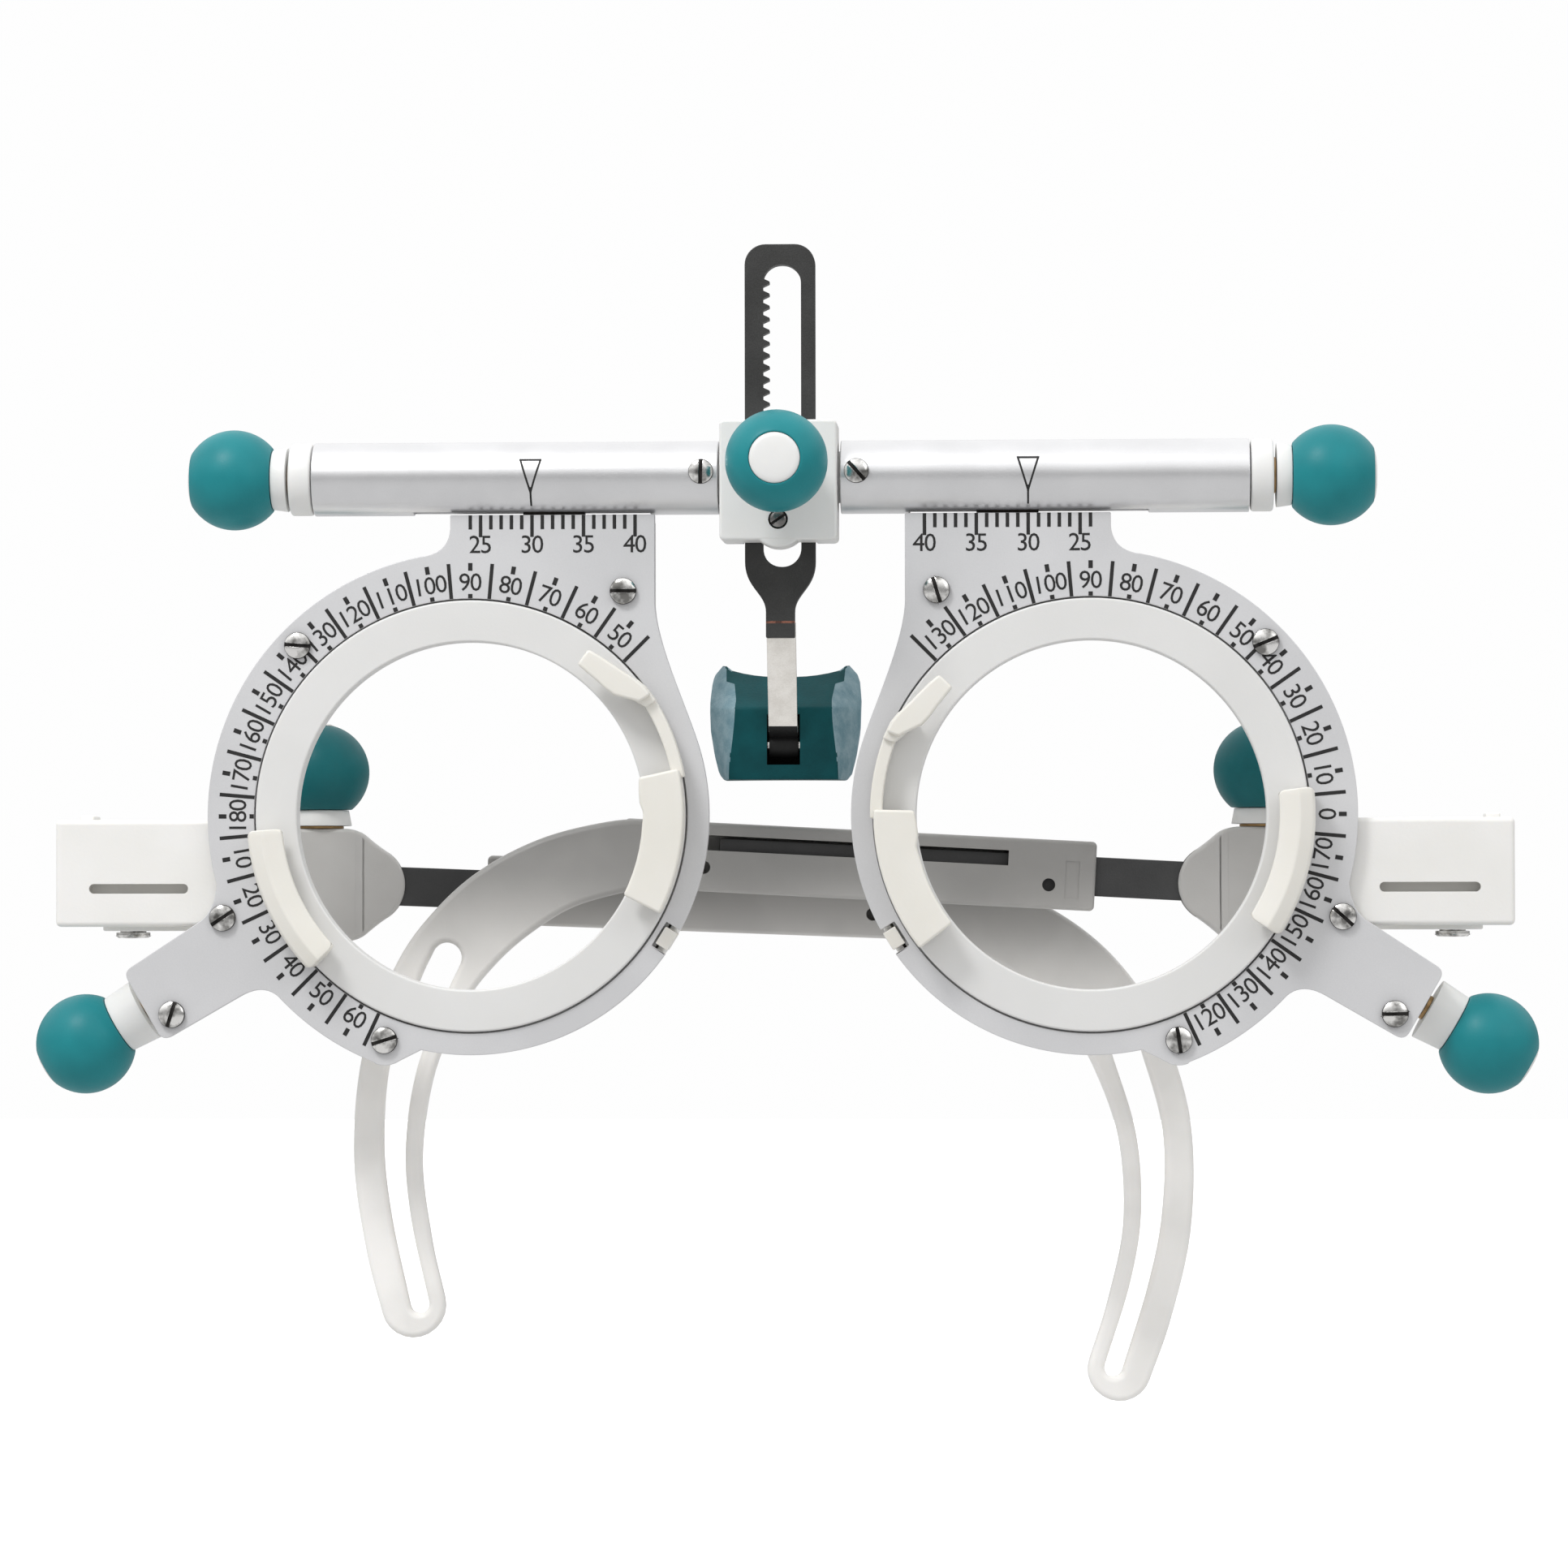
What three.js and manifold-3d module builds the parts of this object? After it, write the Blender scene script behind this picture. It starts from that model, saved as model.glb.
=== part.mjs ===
// An adjustable optical trial frame: two turning lens rings on carriages that slide along a cross tube,
// a toothed nose-rest bar on a pinion, and two temples that fold, tilt and lengthen.
// Millimetres, +X to the right as seen from the front, +Y away from the viewer towards the wearer, +Z up.
// The pieces are laid out from the middle of the line between the lens centres, in the front face of
// the scale plates, and the whole group is then set so that the origin is the hollow of the nose pad.

import * as THREE from "three";
import { mergeVertices } from "three/addons/utils/BufferGeometryUtils.js";
import Module from "manifold-3d";

const wasm = await Module();
wasm.setup();

// Driving dimensions

const DEGREE = Math.PI / 180;
const GAP = 0.3; // kept between pieces that touch
const ROUND = 36; // facets round a lens ring and what holds it
const LENS_X = 30; // half of the pupil distance that is set

const PLATE = {
  thick: 1.0,
  scaleRadius: 25.6, // outboard half, which carries the axis scale
  nasalRadius: 23.15, // nasal and lower rim
  hole: 21.05,
  tab: { out: 1.96, nasal: -17.9, top: 28.95, shoulder: 20.4, neck: 27.8 },
  nasalRim: { from: 165, to: 282 }, // degrees round the lens centre, with the outboard side at 0
  scaleRim: { from: 291.5, arm: 317, back: -15, to: 79 }, // broken by the arm
  lug: { radius: 2.45, from: 235, to: 290 }, // round the lower screw
};
const ARM = { angle: -30, end: 36.85, half: 3.9, root: 4.45, rootAt: 28.1, corner: 1, back: 8.7 };
const ARM_BOX = { from: 20.6, end: 36.35, half: 3.4, front: 2.6 }; // the thick part behind the plate's arm
const SCREW_HOLE = 0.75; // radius round the shank of a plate screw or tube screw
const PLATE_SCREW = { head: 1.29, shank: 0.5, length: 3.8 };
// Screws of a scale plate: name, place about the lens centre, turn of the slot
const PLATE_SCREWS = [
  ["upper_nasal", -14.85, 21.7, 90],
  ["upper_outer", 16.8, 16.55, 5],
  ["side", 24.1, -9.85, 30],
  ["lower", 8.35, -21.7, 20],
  ["arm", 29.05, -19.2, 80],
];
const LATCH = { angle: 212, from: 21.75, to: 23.1, half: 0.95, proud: -0.3, notch: 0.4 };
const RING = {
  front: -0.35,
  aperture: 16.85,
  collar: 20.8,
  flange: 21.9,
  flangeFront: 1.35,
  flangeBack: 2.95,
  sleeve: 19.95,
  sleeveBack: 6.2,
  seatBore: 18.4,
  seatDepth: 2.2,
  edge: 0.25,
};
const CLIP = { top: -3.9, base: -0.6, lip: -3.2, rib: [-2.0, -1.5], groove: 19.15, edge: 0.3 };
const OUTER_CLIP = { inner: 17.85, outer: 21.4, from: -35, to: 7 };
const NASAL_CLIP = {
  post: { inner: 17.0, outer: 20.9, from: 178.7, to: 219 },
  strap: { inner: 20.05, outer: 21.2, from: 156, to: 180, top: -2.6 },
  knuckle: { inner: 17.6, outer: 21.3, from: 152.5, to: 157.4 },
  finger: { inner: 17.6, outer: 20.0, from: 137, to: 153.5, thick: 1.2 },
};
const HOUSING = { front: 1.3, back: 5.4, pocket: 22.15, floor: 4.1, opening: 20.25, inset: 0.25 };
const TUBE = { y: 1.6, z: 32.75, outer: 3.55, inner: 2.75, start: 5.9, end: 45.3 };
const TUBE_SLOT = { from: 12.6, to: 35.6, half: 1.2 };
const TUBE_SCREW = { x: 7.5, z: 33.1, head: 1.2, shank: 0.5, length: 3.0, turn: 70 };
const COLLAR = { radius: 3.5, end: 47.6, spigot: 2.55, bore: 1.3, inside: 42.8 };
const NUT = { x: 22, half: 3.0, radius: 2.45, bore: 1.3, neck: [1.55, 2.5], foot: 25.0 };
const NUT_ROOM = { half: 3.3, front: 1, back: 2.8, bottom: 24.6, top: 30 }; // in the carriage's tab
const SCREW = { radius: 1.0, from: 10.4, to: 55 };
const BALL = { radius: 4.87, inner: 3.75, outer: 4.12, bore: 2.45, core: 2.3, neck: 3.1, steps: 4 };
// Where each ball knob has its centre and where its neck starts, along its own axis
const PD_KNOB = { centre: 53.2, neckStart: 47.9 };
const AXIS_KNOB = { centre: 44.35, neckStart: 37.6, stem: 0.9 };
const RACK_KNOB = { centre: 10.4, shaft: 0.95, tail: 0.5, tailEnd: 3.9 };
const TILT_KNOB = { centre: 4.7 };
const BLOCK = { half: 5.65, bottom: 26.4, top: 38.0, front: -3.2, back: 3.2, lobe: 2.7, lobeZ: 28.4, edge: 0.25 };
const SPIGOT = { radius: 2.5, end: 9.9 }; // of the centre block, inside the tube
const COVER = { half: 4.8, inset: 0.3, gap: 0.2, thick: 1.6 };
const BRIDGE_SCREW = { recess: 0.35, hole: 0.9, head: 0.75, shank: 0.45, length: 2.9, turn: 36 };
const RACK = {
  half: 3.42,
  top: 55.4,
  shoulder: 23.4,
  stripHalf: 1.4,
  stripTop: 20.3,
  stripEnd: 17.2,
  front: 1.1,
  back: 2.5,
  slotTop: 53.4,
  slotBottom: 24.06,
  slotRight: 2.05,
  firstTip: 51.68,
  teeth: 22,
};
const PINION = {
  teeth: 8,
  module: 0.375,
  angle: 25,
  x: 0.2,
  z: 33.42,
  addendum: 0.28,
  dedendum: 0.36,
  slack: 0.12,
};
const CROWN = { teeth: 48, pinion: 5, module: 0.875, angle: 30, pitchY: 3.4, addendum: 0.42, dedendum: 0.5 };
const CROWN_BAND = { from: 20.25, to: 21.75, slack: 0.16, face: 1.9 };
const CROWN_ROOM = { radius: 2.8, from: 19, to: 22.45, bore: 1.2 }; // round the small pinion in the arm
const PAD = { half: 7.45, front: 7.2, back: 14.2, bottom: 3.6, crease: 10.3, tip: 15.0, saddle: 2.5 };
const PAD_POCKET = { half: 1.65, back: 11.2, bottom: 5.05, top: 10.0 };
const PAD_PIN = { y: 9.0, z: 7.0, radius: 0.6, half: 4.0, slack: 0.12 };
const NOSE_STRIP = { half: 1.45, thin: 0.3, eye: 1.25 };
// Middle of the bent strip under the toothed bar, in Y and Z
const NOSE_STRIP_PATH = [[3.05, 18.8], [3.05, 18.1], [6.5, 9.0], [7.1, 8.4], [8.4, 7.9]];
const FOLD = { x: 66, y: 19 }; // vertical fold axis of a temple
const FOLD_PIN = { head: 1.7, headFrom: -11.95, headTo: -11.35, shank: 1.3, top: -0.45, bore: 1.6 };
const HINGE_BOX = {
  inner: 53.2,
  outer: 70.7,
  top: -0.3,
  bottom: -10.7,
  wall: 1.4,
  side: 1.2,
  rear: 4.7,
  cavity: 3.0,
};
const HINGE_STEP = { in: 3.5, front: 4.7, back: 10.5, turn: 0.86 * Math.PI }; // inboard side of the box in plan
const HINGE_TONGUE = { in: 8.5, out: 3, half: 3, round: 2.9, proud: 0.5 }; // low boss under the fold pin
const HINGE_NIB = { in: 1.9, out: 0.4, front: 12, back: 16, proud: 0.6 };
const HINGE_SLOT = { from: 57.7, to: 67.4, z: -7.0, half: 0.47 };
const TILT = { reach: 22.5, z: -6.6, swing: 10.5 }; // the tilt pivot, measured inboard from the fold axis
const TEMPLE_BLOCK = { half: 2.5, top: -0.97, bottom: -12.3, outer: 10.2, nose: 27.3, knuckle: 3.2, edge: 0.3 };
const WORM = { reach: 18.8, radius: 1.1, bottom: -10.2 };
const BAR = { height: 3.9, half: 1.2, length: 50.5, trunnion: 0.8, trunnionHalf: 1.9, room: 0.25 };
const BAR_MOUTH = [8, -3.4]; // how far the block's slot for the bar opens on both sides of the pivot
const RAIL = { start: 13.0, end: 60.0, half: 2.3, height: 6.9, cavity: 1.45, cavityHalf: 2.2, edge: 0.3 };
const JOGGLE = { from: 56, to: 60.6 }; // thick web between the rail and its hook
const RAIL_SLOT = { from: 21.7, to: 58.0, low: 0.67, high: 2.18 };
const RAIL_HOLES = { at: [17.6, 51.9], h: -1.05, radius: 0.65 };
const HOOK = { front: -4.1, back: -1.8 }; // across the temple: inboard of the rail once it is open
const NOSE_ORIGIN = { y: PAD.back - PAD.saddle, z: 8.4 };

// What is set differently on the two sides, as the frame lies in the rest position
const SIDES = {
  right: { mirror: 1, fold: -1.0, tilt: 3.0, ringTurn: 0 },
  left: { mirror: -1, fold: 5.5, tilt: -2.2, ringTurn: -11 },
};

// Centreline of the ear hook: distance along the temple, height, and width across
const HOOK_STATIONS = [
  [57.0, 0.0, 6.9],
  [60.5, -0.45, 7.2],
  [66.3, -2.3, 7.5],
  [71.3, -5.4, 8.0],
  [75.2, -9.2, 8.05],
  [78.3, -13.9, 7.9],
  [81.1, -21.8, 7.4],
  [81.7, -31.3, 6.8],
  [80.2, -39.8, 6.6],
  [78.4, -45.9, 6.4],
];
// Centreline of the long opening in the hook, with its width
const HOOK_OPENING = [
  [76.9, -11.3, 3.0],
  [78.1, -14.3, 3.0],
  [80.6, -22.0, 2.8],
  [81.1, -30.0, 2.2],
  [80.1, -37.2, 1.9],
  [77.8, -45.7, 1.9],
];

// Materials

const paint = (color, roughness, metalness = 0) =>
  new THREE.MeshStandardMaterial({ color, roughness, metalness });
const FINISH = {
  plate: paint(0xc9cbcd, 0.45, 0.3),
  tube: paint(0xd7d9db, 0.35, 0.8),
  white: paint(0xf2f1ec, 0.5),
  cream: paint(0xeeeade, 0.5),
  ring: paint(0xe6e6e2, 0.5),
  teal: paint(0x1d8c93, 0.55),
  pad: paint(0x0e5a60, 0.7),
  black: paint(0x2d2b2c, 0.5, 0.4),
  steel: paint(0xc4c2be, 0.25, 1),
  brass: paint(0xb08a58, 0.35, 1),
  bar: paint(0x4a4a4c, 0.45, 0.3),
};

// Solids: closed three.js geometry is joined and cut with manifold-3d

function solid(shape) {
  if (!shape.isBufferGeometry) return shape;
  const loose = shape.index ? shape.toNonIndexed() : shape;
  const bare = new THREE.BufferGeometry().setAttribute("position", loose.getAttribute("position").clone());
  const merged = mergeVertices(bare, 1e-4);
  const points = merged.getAttribute("position").array;
  const faces = [];
  let volume = 0;
  for (let i = 0; i < merged.index.count; i += 3) {
    const [a, b, c] = merged.index.array.slice(i, i + 3);
    if (a === b || b === c || a === c) continue;
    faces.push(a, b, c);
    const [p, q, r] = [a, b, c].map((k) => new THREE.Vector3(...points.slice(3 * k, 3 * k + 3)));
    volume += p.dot(q.cross(r));
  }
  if (volume < 0) faces.reverse();
  const triVerts = new Uint32Array(faces);
  return new wasm.Manifold(new wasm.Mesh({ numProp: 3, vertProperties: points, triVerts }));
}

const join = (first, ...others) => others.reduce((sum, other) => sum.add(solid(other)), solid(first));
const cut = (first, ...tools) => tools.reduce((rest, tool) => rest.subtract(solid(tool)), solid(first));
const common = (first, second) => solid(first).intersect(solid(second));

function piece(name, shape, finish) {
  const made = solid(shape).getMesh();
  const geometry = new THREE.BufferGeometry();
  geometry.setAttribute("position", new THREE.BufferAttribute(made.vertProperties, 3));
  geometry.setIndex(new THREE.BufferAttribute(made.triVerts, 1));
  geometry.computeVertexNormals();
  const mesh = new THREE.Mesh(geometry, finish);
  mesh.name = name;
  return mesh;
}

function box(x0, x1, y0, y1, z0, z1) {
  const middle = [(x0 + x1) / 2, (y0 + y1) / 2, (z0 + z1) / 2];
  return new THREE.BoxGeometry(x1 - x0, y1 - y0, z1 - z0).translate(...middle);
}

// An outline drawn in X and Z, extruded along Y from y0 to y1, with a chamfer of the given size
function slab(outline, y0, y1, chamfer = 0, curveSegments = 6) {
  const bevel = { bevelThickness: chamfer, bevelSize: chamfer, bevelOffset: -chamfer, bevelSegments: 1 };
  const settings = { depth: y1 - y0 - 2 * chamfer, bevelEnabled: chamfer > 0, curveSegments, ...bevel };
  return new THREE.ExtrudeGeometry(outline, settings).rotateX(Math.PI / 2).translate(0, y1 - chamfer, 0);
}

// An outline drawn in X and Y, extruded upwards
function prism(outline, z0, z1, curveSegments = 6) {
  const settings = { depth: z1 - z0, bevelEnabled: false, curveSegments };
  return new THREE.ExtrudeGeometry(outline, settings).translate(0, 0, z0);
}

// An outline drawn in Y and Z, extruded along X
function beam(outline, x0, x1, curveSegments = 3) {
  const settings = { depth: x1 - x0, bevelEnabled: false, curveSegments };
  const [u, v, w] = [new THREE.Vector3(0, 1, 0), new THREE.Vector3(0, 0, 1), new THREE.Vector3(1, 0, 0)];
  const turn = new THREE.Matrix4().makeBasis(u, v, w);
  return new THREE.ExtrudeGeometry(outline, settings).applyMatrix4(turn).translate(x0, 0, 0);
}

// A profile of [radius, distance along the axis] points, turned about an axis through a place
function turned(profile, place, axis, segments = 16) {
  const points = profile.map(([r, s]) => new THREE.Vector2(r, s));
  const aim = new THREE.Quaternion().setFromUnitVectors(new THREE.Vector3(0, 1, 0), axis.clone().normalize());
  return new THREE.LatheGeometry(points, segments).applyQuaternion(aim).translate(...place);
}

function rod(radius, s0, s1, place, axis, segments = 10) {
  return turned([[0, s0], [radius, s0], [radius, s1], [0, s1]], place, axis, segments);
}

const AXIS = { x: new THREE.Vector3(1, 0, 0), y: new THREE.Vector3(0, 1, 0), z: new THREE.Vector3(0, 0, 1) };
const polar = (radius, degrees) => [radius * Math.cos(degrees * DEGREE), radius * Math.sin(degrees * DEGREE)];

// A polygon from a list of points
const polygon = (points) => new THREE.Shape(points.map(([u, v]) => new THREE.Vector2(u, v)));

// A rectangle with rounded corners
function roundedBox(u0, u1, v0, v1, r) {
  const s = new THREE.Shape();
  s.absarc(u1 - r, v0 + r, r, -Math.PI / 2, 0);
  s.absarc(u1 - r, v1 - r, r, 0, Math.PI / 2);
  s.absarc(u0 + r, v1 - r, r, Math.PI / 2, Math.PI);
  s.absarc(u0 + r, v0 + r, r, Math.PI, 1.5 * Math.PI);
  return s;
}

// Part of a flat ring between two angles
function arcBand(inner, outer, from, to) {
  const s = new THREE.Shape();
  s.absarc(0, 0, outer, from * DEGREE, to * DEGREE, false);
  s.absarc(0, 0, inner, to * DEGREE, from * DEGREE, true);
  return s;
}

// Half the angle that a tooth takes at a radius, by the involute of its base circle
function toothHalfAngle(gear, teeth, radius) {
  const pitch = (gear.module * teeth) / 2;
  const base = pitch * Math.cos(gear.angle * DEGREE);
  const involute = (angle) => Math.tan(angle) - angle;
  const atRadius = Math.acos(Math.min(1, base / radius));
  const thickness = (Math.PI * gear.module) / 2 - gear.slack;
  return thickness / (2 * pitch) + involute(gear.angle * DEGREE) - involute(atRadius);
}

// Outline of a spur pinion with one tooth pointing at the given angle
function pinionOutline(gear, teeth, pointing) {
  const pitch = (gear.module * teeth) / 2;
  const radii = [pitch - gear.dedendum, pitch, pitch + gear.addendum];
  const points = [];
  for (let tooth = 0; tooth < teeth; tooth++) {
    const middle = pointing * DEGREE + (2 * Math.PI * tooth) / teeth;
    for (const r of radii) points.push([r, middle - toothHalfAngle(gear, teeth, r)]);
    for (const r of [...radii].reverse()) points.push([r, middle + toothHalfAngle(gear, teeth, r)]);
  }
  return polygon(points.map(([r, angle]) => [r * Math.cos(angle), r * Math.sin(angle)]));
}

// Cross tube, one half each side, with its slot underneath for the carriage

function tubeHalf(side) {
  const wall = [[TUBE.inner, TUBE.start], [TUBE.outer, TUBE.start], [TUBE.outer, TUBE.end]];
  wall.push([TUBE.inner, TUBE.end], [TUBE.inner, TUBE.start]);
  const [slotFront, slotBack] = [TUBE.y - TUBE_SLOT.half, TUBE.y + TUBE_SLOT.half];
  const slot = box(TUBE_SLOT.from, TUBE_SLOT.to, slotFront, slotBack, TUBE.z - 5, TUBE.z - 1);
  const screwHole = rod(SCREW_HOLE, -5, 0, [TUBE_SCREW.x, TUBE.y, TUBE_SCREW.z], AXIS.y, 12);
  const tube = cut(turned(wall, [0, TUBE.y, TUBE.z], AXIS.x, 20), slot, screwHole);
  return piece(`tube_${side}`, tube, FINISH.tube);
}

function tubeCollar(side) {
  const from = TUBE.end + GAP;
  const profile = [[COLLAR.bore, COLLAR.inside], [COLLAR.spigot, COLLAR.inside], [COLLAR.spigot, from]];
  profile.push([COLLAR.radius, from], [COLLAR.radius, COLLAR.end], [COLLAR.bore, COLLAR.end]);
  profile.push([COLLAR.bore, COLLAR.inside]);
  return piece(`tube_collar_${side}`, turned(profile, [0, TUBE.y, TUBE.z], AXIS.x), FINISH.white);
}

// A slotted screw whose head stands on a face at the place, with its shank along the axis
function slottedScrew(name, place, { head, shank, length }, slotAngle) {
  const seat = -0.15;
  const top = seat - head * 0.42;
  const profile = [[0, top], [head * 0.75, top], [head, seat - 0.21], [head, seat]];
  profile.push([shank, seat], [shank, length], [0, length]);
  const slot = box(-2 * head, 2 * head, top - 1, top + 0.28, -0.16, 0.16).rotateY(slotAngle * DEGREE);
  const mesh = piece(name, cut(turned(profile, [0, 0, 0], AXIS.y, 8), slot), FINISH.steel);
  mesh.position.set(...place);
  return mesh;
}

// Carriage: scale plate, housing with the hinge box, drive nut and screws

const along = polar(1, ARM.angle);
const across = [-along[1], along[0]];
const armPoint = (distance, offset) => [
  distance * along[0] + offset * across[0],
  distance * along[1] + offset * across[1],
];

// Outline of the scale plate about its lens centre, with the outboard side at +X
function plateOutline(inset) {
  const outer = PLATE.scaleRadius - inset;
  const inner = PLATE.nasalRadius - inset;
  const half = ARM.half - inset;
  const root = ARM.root - inset;
  const end = ARM.end - inset;
  const { corner, rootAt } = ARM;
  const { out, nasal, top, shoulder, neck } = PLATE.tab;
  const { nasalRim, scaleRim, lug } = PLATE;
  const [, lugX, lugZ] = PLATE_SCREWS.find(([name]) => name === "lower");
  const s = new THREE.Shape();
  s.moveTo(out - inset, top - inset);
  s.lineTo(nasal + inset, top - inset);
  s.lineTo(nasal + inset, shoulder);
  const meets = polar(inner, nasalRim.from);
  s.bezierCurveTo(nasal + inset - 0.3, shoulder - 4.4, meets[0] + 1.05, meets[1] + 3.9, ...meets);
  s.absarc(0, 0, inner, nasalRim.from * DEGREE, nasalRim.to * DEGREE, false);
  s.absarc(lugX, lugZ, lug.radius - inset, lug.from * DEGREE, lug.to * DEGREE, false);
  s.absarc(0, 0, outer, scaleRim.from * DEGREE, scaleRim.arm * DEGREE, false);
  s.quadraticCurveTo(...armPoint(PLATE.scaleRadius, -half), ...armPoint(rootAt + 0.1, -half));
  s.lineTo(...armPoint(end - corner, -half));
  s.quadraticCurveTo(...armPoint(end, -half), ...armPoint(end, corner - half));
  s.lineTo(...armPoint(end, half - corner));
  s.quadraticCurveTo(...armPoint(end, half), ...armPoint(end - corner, half));
  s.lineTo(...armPoint(rootAt - 0.1, root - 0.1));
  s.quadraticCurveTo(...armPoint(rootAt - 1.9, root), ...polar(outer, scaleRim.back));
  s.absarc(0, 0, outer, scaleRim.back * DEGREE, scaleRim.to * DEGREE, false);
  s.quadraticCurveTo(out - inset + 0.2, neck - 2.4, out - inset, neck);
  return s;
}

// A block at the snap latch, set square to the radius there
function latchBlock(from, to, half, y0, y1) {
  return box(from, to, y0, y1, -half, half).rotateY(-LATCH.angle * DEGREE);
}

const plateScrewHoles = (from, to) =>
  PLATE_SCREWS.map(([, u, v]) => rod(SCREW_HOLE, from, to, [u, 0, v], AXIS.y, 6));

function frontPlate(side) {
  const through = PLATE.thick + 1;
  const opening = rod(PLATE.hole, -1, through, [0, 0, 0], AXIS.y, ROUND);
  const notch = latchBlock(LATCH.from - LATCH.notch / 2, PLATE.scaleRadius, LATCH.half + LATCH.notch, -1, through);
  const plate = cut(slab(plateOutline(0), 0, PLATE.thick, 0, 8), opening, notch, ...plateScrewHoles(-1, through));
  return piece(`front_plate_${side}`, plate, FINISH.plate);
}

// Box for the temple's hinge, behind the outboard end of the housing and drawn about the lens centre
function hingeBox() {
  const { inner, outer, top, bottom, wall, rear, side } = HINGE_BOX;
  const x = FOLD.x - LENS_X;
  const [x0, x1] = [inner - LENS_X, outer - LENS_X];
  const shell = slab(roundedBox(x0 - 2, x1, bottom, top, 0.7), HOUSING.front, FOLD.y + rear + 1, 0, 3);
  const plan = new THREE.Shape();
  plan.moveTo(x0, HOUSING.front);
  plan.lineTo(x1, HOUSING.front);
  plan.absarc(x, FOLD.y, rear, 0, HINGE_STEP.turn, false);
  plan.lineTo(x0 + HINGE_STEP.in, HINGE_STEP.back);
  plan.lineTo(x0 + HINGE_STEP.in, HINGE_STEP.front);
  plan.lineTo(x0, HINGE_STEP.front);
  const cavity = box(x0 + wall, x1 - side, HINGE_BOX.cavity, 40, bottom + wall, top - wall);
  const slotShape = roundedBox(
    HINGE_SLOT.from - LENS_X,
    HINGE_SLOT.to - LENS_X,
    HINGE_SLOT.z - HINGE_SLOT.half,
    HINGE_SLOT.z + HINGE_SLOT.half,
    HINGE_SLOT.half * 0.8,
  );
  const { in: inboard, out, half, round, proud } = HINGE_TONGUE;
  const tongue = roundedBox(x - inboard, x + out, FOLD.y - half, FOLD.y + half, round);
  const boss = common(prism(tongue, bottom - proud, bottom + 0.2, 6), prism(plan, -20, 20));
  const nibSize = HINGE_NIB;
  const nibEnds = [x1 - nibSize.in, x1 - nibSize.out];
  const nib = box(...nibEnds, nibSize.front, nibSize.back, top - 0.4, top + nibSize.proud);
  const slot = slab(slotShape, 0, HINGE_BOX.cavity + 0.5, 0, 3);
  const walls = cut(common(shell, prism(plan, -20, 20)), cavity, slot);
  return cut(join(walls, boss, nib), rod(FOLD_PIN.bore, -30, 30, [x, FOLD.y, 0], AXIS.z, 16));
}

// Unit vector along the arm, and the height of the small pinion's axle behind the plate
const ARM_WAY = new THREE.Vector3(Math.cos(ARM.angle * DEGREE), 0, Math.sin(ARM.angle * DEGREE));
const AXLE_Y = CROWN.pitchY + (CROWN.module * CROWN.pinion) / 2;

function cellHousing(side) {
  const lensHole = [0, 0, 0];
  const arm = box(ARM_BOX.from, ARM_BOX.end, ARM_BOX.front, ARM.back, -ARM_BOX.half, ARM_BOX.half);
  arm.rotateY(-ARM.angle * DEGREE);
  const nutX = NUT.x - LENS_X;
  const { half, front, back, bottom, top } = NUT_ROOM;
  const tools = [
    rod(HOUSING.pocket, 0, HOUSING.floor, lensHole, AXIS.y, ROUND),
    rod(HOUSING.opening, 0, ARM.back + 1, lensHole, AXIS.y, ROUND),
    rod(CROWN_ROOM.radius, CROWN_ROOM.from, CROWN_ROOM.to, [0, AXLE_Y, 0], ARM_WAY, 12),
    rod(CROWN_ROOM.bore, CROWN_ROOM.from, 40, [0, AXLE_Y, 0], ARM_WAY),
    box(nutX - half, nutX + half, front, back, bottom, top),
    ...plateScrewHoles(0, PLATE_SCREW.length + 0.4),
  ];
  const body = join(slab(plateOutline(HOUSING.inset), HOUSING.front, HOUSING.back, 0, 6), arm, hingeBox());
  const latch = latchBlock(LATCH.from, LATCH.to, LATCH.half, LATCH.proud, HOUSING.front + 1);
  const seat = rod(HOUSING.pocket + 0.02, HOUSING.front - 0.1, 4, lensHole, AXIS.y, ROUND);
  return piece(`cell_housing_${side}`, join(cut(body, ...tools), cut(latch, seat)), FINISH.cream);
}

function carriageNut(side) {
  const [from, to] = [NUT.x - LENS_X - NUT.half, NUT.x - LENS_X + NUT.half];
  const nut = rod(NUT.radius, from, to, [0, TUBE.y, TUBE.z], AXIS.x, 20);
  const neck = box(from, to, NUT.neck[0], NUT.neck[1], NUT.foot, TUBE.z - 1);
  const bore = rod(NUT.bore, from - 1, to + 1, [0, TUBE.y, TUBE.z], AXIS.x, 16);
  return piece(`carriage_nut_${side}`, cut(join(nut, neck), bore), FINISH.brass);
}

// Lens ring with crown teeth on the back of its flange, and its two lens clips

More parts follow.
